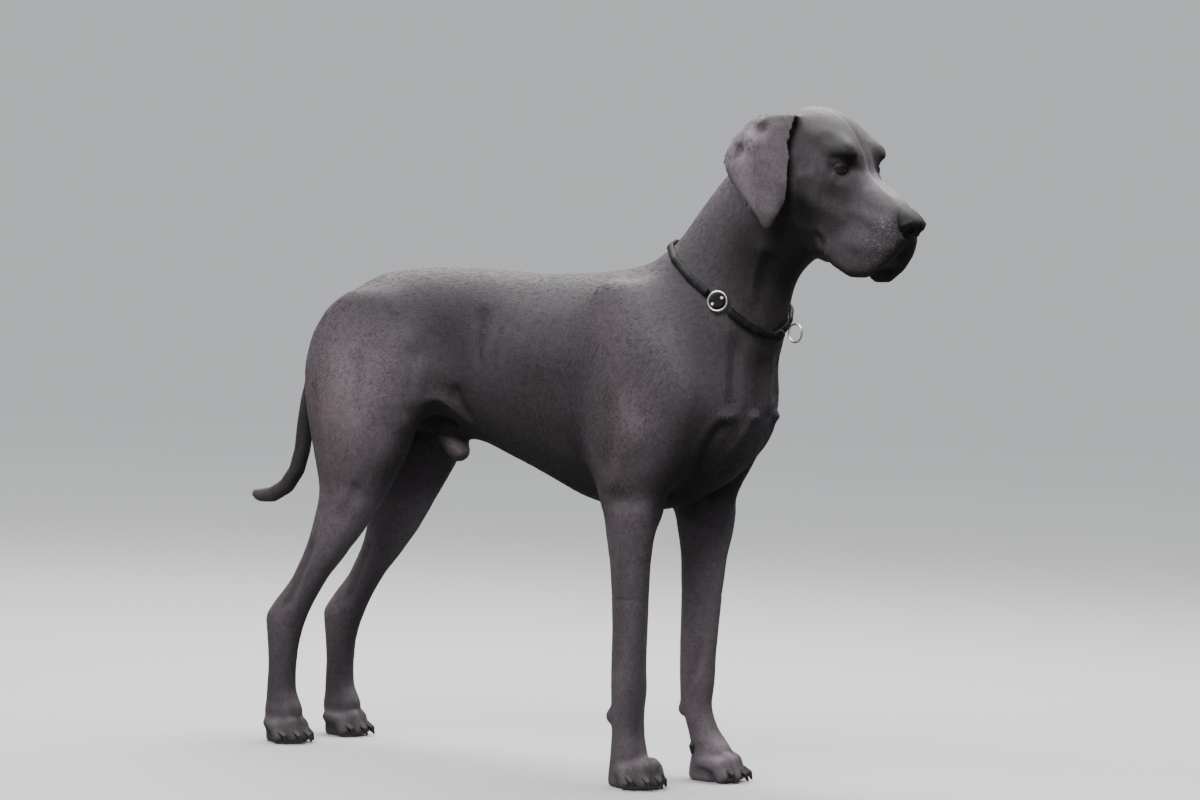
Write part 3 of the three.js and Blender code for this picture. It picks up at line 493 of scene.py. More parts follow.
# The skin is thinned to its share of triangles, the least on the head and the feet.
SKIN_TRIANGLES = 190000
KEEP_LEVELS = 10
skin = hide.mesh
places = head_places(hide.spots)
keep = ramp(places[:, 0], -140, -90) * ramp(places[:, 2], -200, -160)
keep = np.maximum(keep, 0.8 * ramp(110 * MM - hide.spots[:, 2], 0, 30 * MM))
full_skin = in_scene("hide", skin)
group = full_skin.vertex_groups.new(name="keep")
for level in range(1, KEEP_LEVELS + 1):
    at_level = np.nonzero(np.round(keep * KEEP_LEVELS) == level)[0]
    group.add(at_level.tolist(), level / KEEP_LEVELS, "REPLACE")
thin = full_skin.modifiers.new("Thin", "DECIMATE")
thin.ratio = SKIN_TRIANGLES / (rows_of(skin.polygons, "loop_total", 1, np.int32) - 2).sum()
thin.vertex_group = "keep"
thin.invert_vertex_group = True
skin = mesh_shown_by(full_skin)
hide = Clay(skin, FINE)
skin.name = "hide"
skin.shade_smooth()

# Markings and painted light: a blue coat, steel grey with a mauve cast, darker on the tail and paler on
# the legs, with painted shade on the throat, under the chest and on the belly, and painted light and
# shade elsewhere. The hairs take their colour, painted light included, from the hide under them, so that
# the two agree.
# A tone is (centre, radii, factor): the factor holds at the centre and fades out past the radii.
COAT_COLOUR = np.array((0.062, 0.0515, 0.058))
BROWN = np.array((1.07, 0.99, 0.94))
BARE_LIP = np.array((0.020, 0.016, 0.016))
# Body tones are partly the coat's own and partly painted light: painted shade under the ears and jaw,
# behind the shoulder, under the chest and on the belly, and painted highlights on shoulder, thigh and
# breast.
BODY_TONES_AND_PAINTED_LIGHT = [
    ((392, 0, 640), (60, 100, 110), 0.95),
    ((310, 0, 506), (80, 80, 46), 0.45),
    ((20, 0, 470), (260, 90, 46), 0.15),
    ((20, 115, 660), (110, 50, 66), 0.58),
    ((405, 45, 862), (76, 60, 84), 0.2),
    ((366, 60, 900), (34, 30, 60), 0.7),
    ((230, 0, 470), (120, 90, 60), 0.8),
    ((-200, 0, 560), (70, 60, 60), 0.5),
    ((-600, 0, 520), (100, 40, 150), 0.4),
    ((290, 30, 540), (70, 60, 70), 0.9),
    ((40, 110, 560), (150, 50, 80), 0.8),
    ((-360, 40, 470), (90, 34, 110), 1.2),
    ((-375, 120, 630), (80, 60, 90), 2.2),
    ((-345, 100, 760), (90, 50, 50), 0.64),
    ((-132, 80, 780), (120, 50, 50), 0.68),
    ((233, 125, 590), (44, 40, 44), 2.2),
    ((254, 125, 730), (60, 50, 60), 0.8),
    ((-400, 100, 430), (90, 60, 100), 1.35),
    ((-335, 115, 565), (60, 50, 60), 1.3),
    ((-530, 80, 90), (100, 60, 130), 0.72),
    ((375, 0, 570), (40, 50, 46), 1.9),
    ((-215, 0, 522), (24, 24, 26), 4.0),
]
# Head tones are mostly painted light: painted shade on the cheeks under the ears and round the eyes, and
# painted highlights on the bridge, the top of the skull and the ears.
HEAD_TONES_AND_PAINTED_LIGHT = [
    ((-54, 70, -62), (44, 34, 60), 0.1),
    ((2, 56, -36), (36, 26, 20), 0.45),
    ((10, 46, 2), (20, 17, 12), 0.3),
    ((20, 40, 20), (22, 20, 14), 0.55),
    ((13, 48, 42), (26, 24, 20), 0.6),
    ((60, 6, -20), (60, 14, 32), 3.3),
    ((-60, 0, 106), (50, 50, 24), 3.0),
    ((-40, 60, 54), (40, 30, 36), 0.68),
    ((-10, 50, 50), (60, 40, 34), 0.55),
    ((70, 30, -130), (50, 26, 34), 0.8),
    ((100, 14, -70), (16, 18, 22), 0.6),
    ((-115, 84, 0), (64, 14, 110), 1.75),
    ((-112, 86, -60), (60, 24, 56), 2.0),
]


def lip_inside(places, facing):
    """1 on the bare inner face of the hanging lips, 0 on haired skin."""
    ahead, aside, above = places.T
    inward = -(facing @ head_left) * np.sign(aside)
    zone = ramp(ahead, 38, 56) * ramp(46 - np.abs(aside), 0, 6) * ramp(-above, 104, 112)
    return zone * ramp(inward, -0.6, -0.15)


def colours_and_painted_light(spots, facing):
    """The coat's colour at each spot of the hide, with painted light and shade."""
    millimetres = spots / MM
    mirrored = np.stack([millimetres[:, 0], np.abs(millimetres[:, 1]), millimetres[:, 2]], 1)
    tone = np.ones(len(spots))
    places = head_places(spots)
    beside = np.stack([places[:, 0], np.abs(places[:, 1]), places[:, 2]], 1)
    for tones, where in ((BODY_TONES_AND_PAINTED_LIGHT, mirrored), (HEAD_TONES_AND_PAINTED_LIGHT, beside)):
        for centre, radii, factor in tones:
            tone *= 1 + (factor - 1) * np.exp(-(((where - centre) / radii) ** 2).sum(1))
    height = millimetres[:, 2]
    legs, feet = ramp(-height, -600, -420), ramp(-height, -130, -60)
    # Painted light by facing: painted shade on faces that turn downwards, the tops painted a little
    # darker, and painted light on the inner faces of the lower legs.
    under, over = ramp(-facing[:, 2], -0.1, 0.55) * ramp(height, 400, 480), ramp(facing[:, 2], 0.4, 0.9)
    inner = ramp(-facing[:, 1] * np.sign(millimetres[:, 1]), -0.3, 0.5) * ramp(-height, -460, -390)
    tone *= 1 + 0.4 * legs
    tone *= 1 + 0.1 * feet
    tone *= 1 - 0.6 * under
    tone *= 1 - 0.06 * over
    tone *= 1 + (0.1 + 0.5 * ramp(millimetres[:, 0], 0, 100)) * inner
    brown = np.exp(-(((mirrored - (-430, 110, 560)) / (50, 60, 110)) ** 2).sum(1))
    brown += np.exp(-(((mirrored - (190, 130, 560)) / (30, 40, 90)) ** 2).sum(1))
    colour = COAT_COLOUR * tone[:, None] * (1 + (BROWN - 1) * np.clip(brown, 0, 1)[:, None])
    bare = lip_inside(places, facing)[:, None]
    return colour * (1 - bare) + BARE_LIP * bare


def colour_vertices(mesh, colours):
    layer = mesh.attributes.new("coat_colour_and_light", "FLOAT_COLOR", "POINT")
    opaque = np.column_stack([colours, np.ones(len(colours))])
    layer.data.foreach_set("color", opaque.astype(np.float32).ravel())


# Painted sheen and shade: what stands proud of its surroundings, such as a muscle or a fold of the ear,
# is painted a little paler, and what lies sunk a little darker; the rims of the ears get a stronger
# painted highlight.
NEAR_FORM, FAR_FORM, PROUD_BY = 9 * MM, 24 * MM, 2.5 * MM
PAINTED_SHEEN, PAINTED_EAR_RIM = 0.16, 0.8
facing = hide.normals()
hide_bare = lip_inside(head_places(hide.spots), facing)
proud = ((hide.spots - hide.spread(hide.spots, NEAR_FORM)) * facing).sum(1)[:, None]
proud -= hide.spread(proud, FAR_FORM)
relief = np.tanh(proud / PROUD_BY)
on_ear = ear_zone(hide.spots)[:, None]
painted_sheen_on_form = 1 + PAINTED_SHEEN * relief + PAINTED_EAR_RIM * on_ear * np.maximum(relief, 0)
hide_colours = colours_and_painted_light(hide.spots, facing) * painted_sheen_on_form
colour_vertices(skin, hide_colours)
wet = skin.attributes.new("wet", "FLOAT", "POINT")
wet.data.foreach_set("value", hide_bare.astype(np.float32))


class Value:
    """A socket of a finish, with the operators that shader maths needs."""

    def __init__(self, finish, socket):
        self.finish = finish
        self.socket = socket

    def maths(self, operation, *values):
        return self.finish.node("Math", {"operation": operation}, dict(enumerate(values)))

    def __add__(self, other):
        return self.maths("ADD", self, other)

    def __sub__(self, other):
        return self.maths("SUBTRACT", self, other)

    def __rsub__(self, other):
        return self.maths("SUBTRACT", other, self)

    def __mul__(self, other):
        return self.maths("MULTIPLY", self, other)

    def __truediv__(self, other):
        return self.maths("DIVIDE", self, other)

    def __pow__(self, other):
        return self.maths("POWER", self, other)

    __radd__ = __add__
    __rmul__ = __mul__

    def ramp(self, low, high):
        """0 below low and 1 above high, with a smooth rise between them."""
        settings = {"interpolation_type": "SMOOTHSTEP"}
        return self.finish.node("MapRange", settings, {"Value": self, "From Min": low, "From Max": high})


class Finish:
    """A material whose surface is one Principled shader."""

    def __init__(self, name, **sockets):
        self.material = bpy.data.materials.new(name)
        self.material.use_nodes = True
        self.tree = self.material.node_tree
        self.surface = self.tree.nodes["Principled BSDF"]
        for socket, value in sockets.items():
            self.set(socket.replace("_", " "), value)

    def set(self, socket, value):
        """Sets or links a socket of the surface."""
        self.fill(self.surface.inputs[socket], value)

    def fill(self, socket, value):
        if isinstance(value, Value):
            self.tree.links.new(value.socket, socket)
        elif isinstance(value, tuple) and socket.type == "RGBA":
            socket.default_value = (*value, 1)
        else:
            socket.default_value = value

    def node(self, kind, settings=None, sockets=None, output=0):
        """Adds any node, sets it up, fills its sockets and gives one of its outputs."""
        node = self.tree.nodes.new("ShaderNode" + kind)
        for name, value in (settings or {}).items():
            setattr(node, name, value)
        for name, value in (sockets or {}).items():
            self.fill(node.inputs[name], value)
        return Value(self, node.outputs[output])

    def noise(self, scale, detail=2.0, rough=0.5):
        sockets = {"Vector": self.spot(), "Scale": scale, "Detail": detail, "Roughness": rough}
        return self.node("TexNoise", None, sockets)

    def spot(self):
        return self.node("TexCoord", output=3)

    def attribute(self, name, output=2):
        return self.node("Attribute", {"attribute_name": name}, output=output)

    def tinted(self, colour, factor):
        """A colour multiplied by a value."""
        return self.node("VectorMath", {"operation": "SCALE"}, {0: colour, "Scale": factor})

    def mixed(self, factor, one, two):
        return self.node("MixRGB", None, {"Fac": factor, "Color1": one, "Color2": two})

    def bump(self, height, distance, strength):
        sockets = {"Height": height, "Distance": distance, "Strength": strength}
        return self.node("Bump", None, sockets)


def put_on(name, mesh, finish, replaced=()):
    """Makes a mesh a piece of the object."""
    piece = in_scene(name, mesh)
    mesh.materials.clear()
    mesh.materials.append(finish.material)
    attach(piece, "root")
    if replaced:
        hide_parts(*replaced)


def colour_as_coat(finish):
    """Gives a finish the coat's colours with their painted light and shade, mottled in large and small
    patches, under a faint mauve sheen.
    """
    mottle = finish.noise(90, 3.0) * 0.5 + finish.noise(260, 2.0, 0.6) * 0.9 + 0.3
    finish.set("Base Color", finish.tinted(finish.attribute("coat_colour_and_light", 0), mottle))
    finish.set("Sheen Tint", (0.8, 0.76, 0.82))


hide_finish = Finish("hide", Sheen_Weight=0.04, Sheen_Roughness=0.4, Specular_IOR_Level=0.2)
colour_as_coat(hide_finish)
wet_lip = hide_finish.attribute("wet")
hide_finish.set("Roughness", 0.56 + wet_lip * 0.1 + (hide_finish.noise(300) - 0.5) * 0.15)
hair_lines = hide_finish.noise(900, 2.0, 0.7) * 0.6 + hide_finish.noise(260, 2.0, 0.5) * 0.4
hide_finish.set("Normal", hide_finish.bump(hair_lines, 0.7 * MM, 0.7))
put_on("hide", skin, hide_finish, [node for node in reach_of if not node.startswith("eye")])

# Coat: short flat hairs in thin tufts that lie along the body, from the nose over the back and down
# the legs. Each tuft is a sliver with its root in the hide, the smallest on the face, ears and feet.
COAT_PIECES = 8
TUFTS = 320000
TUFT_LENGTH, TUFT_WIDTH, TUFT_DEPTH = 8 * MM, 0.95 * MM, 0.28 * MM
ROOT_DEPTH = 0.15 * MM

# The hair lies along these lines, given in millimetres as the strokes are.
FLOW_BODY = [
    [(330, 0, 1050), (240, 0, 930), (150, 0, 860), (0, 0, 840), (-300, 0, 850), (-480, 0, 800),
     (-555, 0, 700), (-590, 0, 560), (-620, 0, 450), (-670, 0, 420)],
    [(150, -110, 780), (0, -110, 740), (-150, -95, 700), (-300, -105, 690), (-420, -115, 640)],
    [(220, -120, 620), (60, -115, 570), (-100, -90, 575), (-200, -85, 610), (-300, -90, 620)],
    [(250, -20, 450), (60, -20, 460), (-140, -20, 520), (-240, -20, 560)],
    [(330, -90, 760), (270, -130, 680), (225, -143, 560), (205, -135, 460), (205, -120, 380)],
    [(300, -60, 860), (220, -90, 800), (150, -100, 720), (120, -110, 620), (140, -110, 520)],
    [(240, -100, 440), (232, -90, 300), (225, -86, 140), (240, -86, 60), (262, -86, 20)],
    [(165, -100, 440), (172, -90, 300), (172, -86, 150), (182, -86, 40)],
    [(-350, -100, 760), (-380, -120, 620), (-370, -115, 500), (-430, -105, 360), (-500, -98, 240),
     (-535, -85, 160), (-530, -80, 50), (-480, -80, 20)],
    [(-470, -50, 740), (-480, -90, 600), (-440, -105, 480)],
    [(-255, -95, 650), (-280, -100, 520), (-350, -90, 400), (-460, -80, 260), (-500, -80, 150),
     (-500, -80, 60)],
    [(400, -65, 970), (340, -75, 900), (270, -90, 820), (210, -110, 760)],
    [(450, -50, 880), (400, -56, 800), (360, -70, 720), (340, -85, 640), (310, -90, 560)],
    [(470, 0, 880), (420, 0, 840), (400, 0, 740), (396, 0, 640), (340, 0, 520), (280, 0, 470)],
]
FLOW_HEAD = [
    [(108, 0, -58), (60, 0, -24), (30, 0, 4), (0, 0, 58), (-60, 0, 96), (-115, 0, 88)],
    [(100, 22, -70), (50, 30, -55), (20, 44, -24), (-20, 62, -10), (-60, 72, 10)],
    [(112, 18, -100), (70, 38, -100), (10, 52, -80), (-40, 66, -60), (-80, 62, -60)],
    [(112, 18, -115), (70, 40, -145), (10, 50, -140), (-30, 50, -140)],
    [(30, 30, 18), (0, 50, 44), (-40, 56, 66), (-80, 56, 78)],
    [(-80, 58, 92), (-96, 76, 76), (-102, 82, 30), (-108, 88, -20), (-112, 84, -94)],
    [(-140, 70, 70), (-160, 82, 30), (-150, 84, -10), (-116, 82, -90)],
    [(-60, 60, 90), (-62, 78, 60), (-66, 84, 0), (-100, 82, -80)],
]
flow = [line for points in FLOW_BODY for line in on_both(points)]
flow += [in_head(points, side) for points in FLOW_HEAD for side in (-1, 1)]
flow = [curve_through(line, 4) for line in flow]
flow_spots = np.concatenate([(line[1:] + line[:-1]) / 2 for line in flow])
flow_ways = np.concatenate([np.diff(line, axis=0) for line in flow])
flow_ways /= np.linalg.norm(flow_ways, axis=1)[:, None]


def lie_of_coat(spots, facing):
    """The way that the hair lies at each spot, along the hide, from the flow lines nearest to it."""
    batch, blend = 4000, 6 * MM
    ways = np.empty_like(spots)
    for start in range(0, len(spots), batch):
        rows = slice(start, start + batch)
        gap = spots[rows][:, None] - flow_spots
        pull = 1 / ((gap ** 2).sum(2) + blend ** 2) ** 2
        ways[rows] = pull @ flow_ways
    ways -= facing * (ways * facing).sum(1)[:, None]
    return ways / np.maximum(np.linalg.norm(ways, axis=1), 1e-9)[:, None]


def triangle_rows(mesh, name):
    """The vertices or the loops of each triangle of a mesh."""
    mesh.calc_loop_triangles()
    return rows_of(mesh.loop_triangles, name, 3, np.int32)


# A thinner copy of the skin is laid out flat: each tuft gets the place of its root on this layout.
map_skin = with_modifier(skin, "DECIMATE", ratio=0.1)
map_holder = in_scene("map", map_skin)
bpy.context.view_layer.objects.active = map_holder
bpy.ops.object.mode_set(mode="EDIT")
bpy.ops.mesh.select_all(action="SELECT")
bpy.ops.uv.smart_project(angle_limit=1.15, island_margin=0.004, scale_to_bounds=True)
bpy.ops.object.mode_set(mode="OBJECT")
map_triangles = triangle_rows(map_skin, "vertices")
map_uv = rows_of(map_skin.uv_layers.active.uv, "vector", 2)[triangle_rows(map_skin, "loops")]
map_clay = Clay(map_skin, FINE)
map_ways = lie_of_coat(map_clay.spots, map_clay.normals())
map_tree = BVHTree.FromPolygons(map_clay.spots.tolist(), map_triangles.tolist())
bpy.data.objects.remove(map_holder)
triangles = triangle_rows(skin, "vertices")


def tuft_size(spots):
    """How large the tufts are at each spot: 1 on back and flanks, less on legs, ears, face and feet."""
    height = spots[:, 2] / MM
    places = head_places(spots)
    size = 1 - 0.3 * ramp(-height, -480, -340) - 0.22 * ramp(-height, -150, -60)
    size -= 0.45 * ramp(places[:, 0], -150, -60) * ramp(places[:, 2], -220, -150)
    return size - 0.15 * ramp(places[:, 0], 0, 70) * ramp(places[:, 2], -220, -150)


def unit(rows):
    """Rows of an array made one long."""
    return rows / np.linalg.norm(rows, axis=1)[:, None]


def shares_in(corners, spots):
    """How much each corner of its triangle counts at each spot."""
    side_one = corners[:, 1] - corners[:, 0]
    side_two = corners[:, 2] - corners[:, 0]
    reach_in = spots - corners[:, 0]
    square_one = (side_one ** 2).sum(1)
    square_two = (side_two ** 2).sum(1)
    shared = (side_one * side_two).sum(1)
    along_one = (reach_in * side_one).sum(1)
    along_two = (reach_in * side_two).sum(1)
    scale = np.maximum(square_one * square_two - shared ** 2, 1e-18)
    part_one = (square_two * along_one - shared * along_two) / scale
    part_two = (square_one * along_two - shared * along_one) / scale
    shares = np.clip(np.stack([1 - part_one - part_two, part_one, part_two], 1), 0, 1)
    return (shares / shares.sum(1)[:, None])[..., None]


# No tuft grows on the bare lip, the rims of the eyes, the nose or the soles.
BARE_FROM, LID_MARGIN, NOSE_MARGIN, SOLE_MARGIN = 0.3, 2.2 * MM, 1 * MM, 3 * MM
draw = np.random.default_rng(11)
middles = hide.spots[triangles].mean(1)
two_sides = hide.spots[triangles[:, 1:]] - hide.spots[triangles[:, :1]]
areas = np.linalg.norm(np.cross(two_sides[:, 0], two_sides[:, 1]), axis=1) / 2
share = areas / tuft_size(middles) ** 2
eye_gap = np.min([np.linalg.norm(middles - eye_middle[side], axis=1) for side in SIDES], axis=0)
nose_low, nose_high = (np.array(corner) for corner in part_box("nose"))
at_nose = ((middles > nose_low - NOSE_MARGIN) & (middles < nose_high + NOSE_MARGIN)).all(1)
hairless = (hide_bare[triangles].mean(1) > BARE_FROM) | (eye_gap < EYE_RADIUS + LID_MARGIN) | at_nose
share[hairless | (middles[:, 2] < SOLE_MARGIN)] = 0
chosen = draw.choice(len(triangles), TUFTS, p=share / share.sum())
one, two = draw.random((2, TUFTS))
one, two = np.where(one + two > 1, 1 - one, one), np.where(one + two > 1, 1 - two, two)
weights = np.stack([1 - one - two, one, two], 1)[..., None]
roots = (hide.spots[triangles[chosen]] * weights).sum(1)
root_facing = unit((facing[triangles[chosen]] * weights).sum(1))
hits = np.array([map_tree.find_nearest(root)[2] for root in roots.tolist()])
shares = shares_in(map_clay.spots[map_triangles[hits]], roots)
root_uv = (map_uv[hits] * shares).sum(1)

# The tufts lie a little unevenly, and rise from the hide by a few degrees.
SCATTER, RISE = 0.09, 0.055
ways = (map_ways[map_triangles[hits]] * shares).sum(1)
ways += draw.normal(0, SCATTER, ways.shape)
ways = unit(ways - root_facing * (ways * root_facing).sum(1)[:, None])
ways = ways + root_facing * (RISE * draw.uniform(0.5, 1.5, TUFTS))[:, None]
across = np.cross(root_facing, ways)
size = (tuft_size(roots) * draw.uniform(0.75, 1.3, TUFTS))[:, None]

sliver = bmesh.new()
bmesh.ops.create_cone(sliver, segments=3, radius1=0.5, radius2=0, depth=1, cap_ends=True)
bmesh.ops.remove_doubles(sliver, verts=sliver.verts, dist=1e-4)
bmesh.ops.triangulate(sliver, faces=sliver.faces)
shape = np.array([vert.co for vert in sliver.verts])
shape[:, 2] += 0.5
sides = np.array([[vert.index for vert in face.verts] for face in sliver.faces])
sliver.free()

# Some tufts of the muzzle are pale with age, and a little larger. The rest differ only a little.
PALE_SHARE, PALE_GAIN, PALE_SIZE = 0.15, 5, 0.4
root_places = head_places(roots)
pale = ramp(root_places[:, 0], 25, 75) * ramp(-root_places[:, 2], 50, 90)
pale = pale * (draw.random(TUFTS) < PALE_SHARE)
size *= (1 + PALE_SIZE * pale)[:, None]
shade = draw.uniform(0.66, 1.38, TUFTS) * (1 + PALE_GAIN * pale)
tuft_colours = (hide_colours[triangles[chosen]] * weights).sum(1) * shade[:, None]
coat_finish = Finish("coat", Sheen_Weight=0.05, Sheen_Roughness=0.35, Specular_IOR_Level=0.28)
colour_as_coat(coat_finish)
coat_finish.set("Roughness", coat_finish.noise(400) * 0.2 + 0.4)

# A tuft takes up a patch of the layout, this much of the layout's width.
PATCH = 0.003
patch = shape[:, :2] * PATCH
for piece in range(COAT_PIECES):
    rows = np.arange(piece * TUFTS // COAT_PIECES, (piece + 1) * TUFTS // COAT_PIECES)
    grown = shape[None] * size[rows][..., None]
    verts = roots[rows][:, None] - root_facing[rows][:, None] * ROOT_DEPTH
    verts = verts + across[rows][:, None] * grown[..., :1] * TUFT_WIDTH
    verts = verts + root_facing[rows][:, None] * grown[..., 1:2] * TUFT_DEPTH
    verts = verts + ways[rows][:, None] * grown[..., 2:] * TUFT_LENGTH
    verts[..., 2] = np.maximum(verts[..., 2], SOLE)
    faces = sides[None] + (np.arange(len(rows)) * len(shape))[:, None, None]
    mesh = bpy.data.meshes.new(f"coat_{piece + 1}")
    mesh.from_pydata(verts.reshape(-1, 3), [], faces.reshape(-1, 3))
    colour_vertices(mesh, np.repeat(tuft_colours[rows], len(shape), axis=0))
    layer = mesh.uv_layers.new(name="OFBake")
    spread = root_uv[rows][:, None] + patch[sides.ravel()]
    layer.uv.foreach_set("vector", spread.astype(np.float32).ravel())
    put_on(f"coat_{piece + 1}", mesh, coat_finish)

# Eyes: dark amber, seen through a bulging clear cornea, wet, and set deep under the brows.
# Each is one ball turned to look ahead and outwards, in place of the CAD's.
CORNEA, BULGE = math.radians(34), 0.075
for side, sign in SIDES.items():
    gaze, outer = eye_frame(sign)
    ball = bmesh.new()
    bmesh.ops.create_uvsphere(ball, u_segments=48, v_segments=32, radius=EYE_RADIUS)
    for vert in ball.verts:
        from_pole = math.acos(max(-1, min(1, vert.co.z / vert.co.length)))
        vert.co *= 1 + BULGE * max(0, 1 - (from_pole / CORNEA) ** 2)
    pole_at = Matrix((outer, np.cross(gaze, outer), gaze)).transposed().to_4x4()
    bmesh.ops.transform(ball, matrix=Matrix.Translation(eye_middle[side]) @ pole_at, verts=ball.verts)
    bmesh.ops.recalc_face_normals(ball, faces=ball.faces)
    mesh = mesh_of(ball, f"eye_{side}_ball")
    mesh.shade_smooth()
    eye = Finish(f"eye_{side}", Roughness=0.1, Specular_IOR_Level=0.3)
    eye.set("Coat Weight", 0.4)
    eye.set("Coat Roughness", 0.03)
    middle = tuple(eye_middle[side])
    away = eye.node("VectorMath", {"operation": "SUBTRACT"}, {0: eye.spot(), 1: middle})
    forward = eye.node("VectorMath", {"operation": "DOT_PRODUCT"}, {0: away, 1: tuple(gaze)}, output=1)
    distance = eye.node("VectorMath", {"operation": "LENGTH"}, {0: away}, output=1)
    off_axis = (1 - (forward / distance) ** 2) ** 0.5
    fleck = eye.noise(900, 3.0, 0.7) * 0.9 + 0.5
    amber = eye.tinted((0.022, 0.010, 0.006), fleck)
    ringed = eye.mixed(off_axis.ramp(0.44, 0.54), amber, (0.012, 0.008, 0.007))
    white = eye.mixed(off_axis.ramp(0.56, 0.66), ringed, (0.022, 0.016, 0.015))
    eye.set("Base Color", eye.mixed(1 - off_axis.ramp(0.22, 0.27), white, (0.003, 0.003, 0.003)))
    put_on(f"eyeball_{side}", mesh, eye, [f"eye_{side}"])

# Lid rims: the bare dark edges of the eyelids, a thin moist cord of skin round each opening.
# Each is a round bevelled curve that lies on the eyeball and is sunk into the lid.
RIM, RIM_OUT, RIM_POINTS = 0.95 * MM, 0.55 * MM, 18
rim_finish = Finish("lid_rim", Roughness=0.5, Specular_IOR_Level=0.3)
rim_tone = rim_finish.mixed(rim_finish.noise(600), (0.008, 0.007, 0.007), (0.020, 0.016, 0.017))
rim_finish.set("Base Color", rim_tone)
for side, sign in SIDES.items():
    gaze, outer = eye_frame(sign)
    route = []
    for lid, corner in enumerate((-HALF_OPENING, HALF_OPENING)):
        for turn in np.linspace(corner, -corner, RIM_POINTS)[:-1]:
            route.append((turn, lid_edges(turn)[lid]))
    cord = bpy.data.curves.new(f"lid_rim_{side}", "CURVE")
    cord.dimensions = "3D"
    cord.bevel_depth = RIM
    cord.bevel_resolution = 3
    cord.resolution_u = 3
    run = cord.splines.new("BEZIER")
    run.bezier_points.add(len(route) - 1)
    run.use_cyclic_u = True
    for point, (turn, rise) in zip(run.bezier_points, np.radians(route)):
        level = gaze * math.cos(turn) + outer * math.sin(turn)
        way = level * math.cos(rise) + head_up * math.sin(rise)
        point.co = eye_middle[side] + way * (EYE_RADIUS + RIM_OUT)
        point.handle_left_type = point.handle_right_type = "AUTO"
    mesh = mesh_shown_by(in_scene(cord.name, cord))
    mesh.name = f"lid_rim_{side}"
    put_on(f"lid_rim_{side}", mesh, rim_finish)

# Nose: bare leathery skin with a pebbled grain, two comma nostrils and a groove down its middle.
# The CAD's pad is drawn out a little, tipped to follow the muzzle, and sits in the end of the hide.
NOSE_GRAIN = 0.9 * MM
PAD_MIDDLE, PAD_STRETCH, PAD_MOVED_TO = (127, 0, -80), (1.5, 1.12, 1.1), (128.5, 0, -84)
PAD_SLOPE, SLOPE_FROM = 0.18, 124
nose = Clay(cast_round([solid_copy("nose", 0.4 * MM)], NOSE_GRAIN), NOSE_GRAIN)
pad = head_places(nose.spots)
pad = (pad - PAD_MIDDLE) * PAD_STRETCH + PAD_MOVED_TO
pad[:, 2] += PAD_SLOPE * (SLOPE_FROM - pad[:, 0])
nose.spots = in_head(pad)
nose.draw_smooth(5 * MM)
nose.ready()
NOSE_STROKES = [
    (3.4, -6.5, [(124, 9, -89), (120, 15, -95), (112, 20, -98)]),
    (2.0, -3.5, [(112, 21, -97), (104, 23, -95), (98, 23, -92)]),
    (4.0, 2.0, [(122, 14, -81), (114, 21, -85), (104, 24, -87)]),
]
for width, height, points in NOSE_STROKES:
    for side in (-1, 1):
        nose.stroke(in_head(points, side), width * MM, height * MM, 0.3)
nose.stroke(in_head([(127, 0, -81), (127, 0, -95), (122, 0, -108)]), 1.6 * MM, -2.0 * MM)
nose.press(0.9 * MM)
nose.mesh.shade_smooth()
nose_finish = Finish("nose", Roughness=0.6, Specular_IOR_Level=0.2)
pebble = nose_finish.node("TexVoronoi", None, {"Vector": nose_finish.spot(), "Scale": 900.0})
pebbled = nose_finish.mixed(pebble.ramp(0.1, 0.7), (0.014, 0.013, 0.016), (0.006, 0.006, 0.007))
nose_finish.set("Base Color", pebbled)
nose_finish.set("Normal", nose_finish.bump(1 - pebble, 0.4 * MM, 0.6))
put_on("nose_leather", nose.mesh, nose_finish, ["nose"])

# Claws: short, blunt, blackish horn, each grown out of the end of its toe.
# They are the CAD's claws, made larger, set back into their toes and rounded off as one piece.
claw_nodes = sorted(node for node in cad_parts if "claw" in node)
CLAW_GRAIN = 0.8 * MM
CLAW_GROWTH, SET_BACK = 1.35, 3 * MM
claws = []
for node in claw_nodes:
    claw = solid_copy(node, 0.2 * MM)
    low, high = (np.array(corner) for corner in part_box(node))
    tip = Vector((high[0], (low[1] + high[1]) / 2, low[2]))
    tip_at = tip - Vector((SET_BACK, 0, 0))
    claw.transform(Matrix.Translation(tip_at) @ Matrix.Scale(CLAW_GROWTH, 4) @ Matrix.Translation(-tip))
    claws.append(claw)
horn = Clay(cast_round(claws, CLAW_GRAIN), CLAW_GRAIN)
horn.draw_smooth(1.7 * MM)
horn.spots[:, 2] = np.maximum(horn.spots[:, 2], SOLE)
horn.write()
horn.mesh.shade_smooth()
claw_finish = Finish("claw", Roughness=0.5, Specular_IOR_Level=0.3)
horn_tone = claw_finish.mixed(claw_finish.noise(220, 3.0), (0.012, 0.011, 0.011), (0.05, 0.043, 0.040))
claw_finish.set("Base Color", horn_tone)
claw_finish.set("Normal", claw_finish.bump(claw_finish.noise(700), 0.2 * MM, 0.4))
put_on("claws", horn.mesh, claw_finish, claw_nodes)

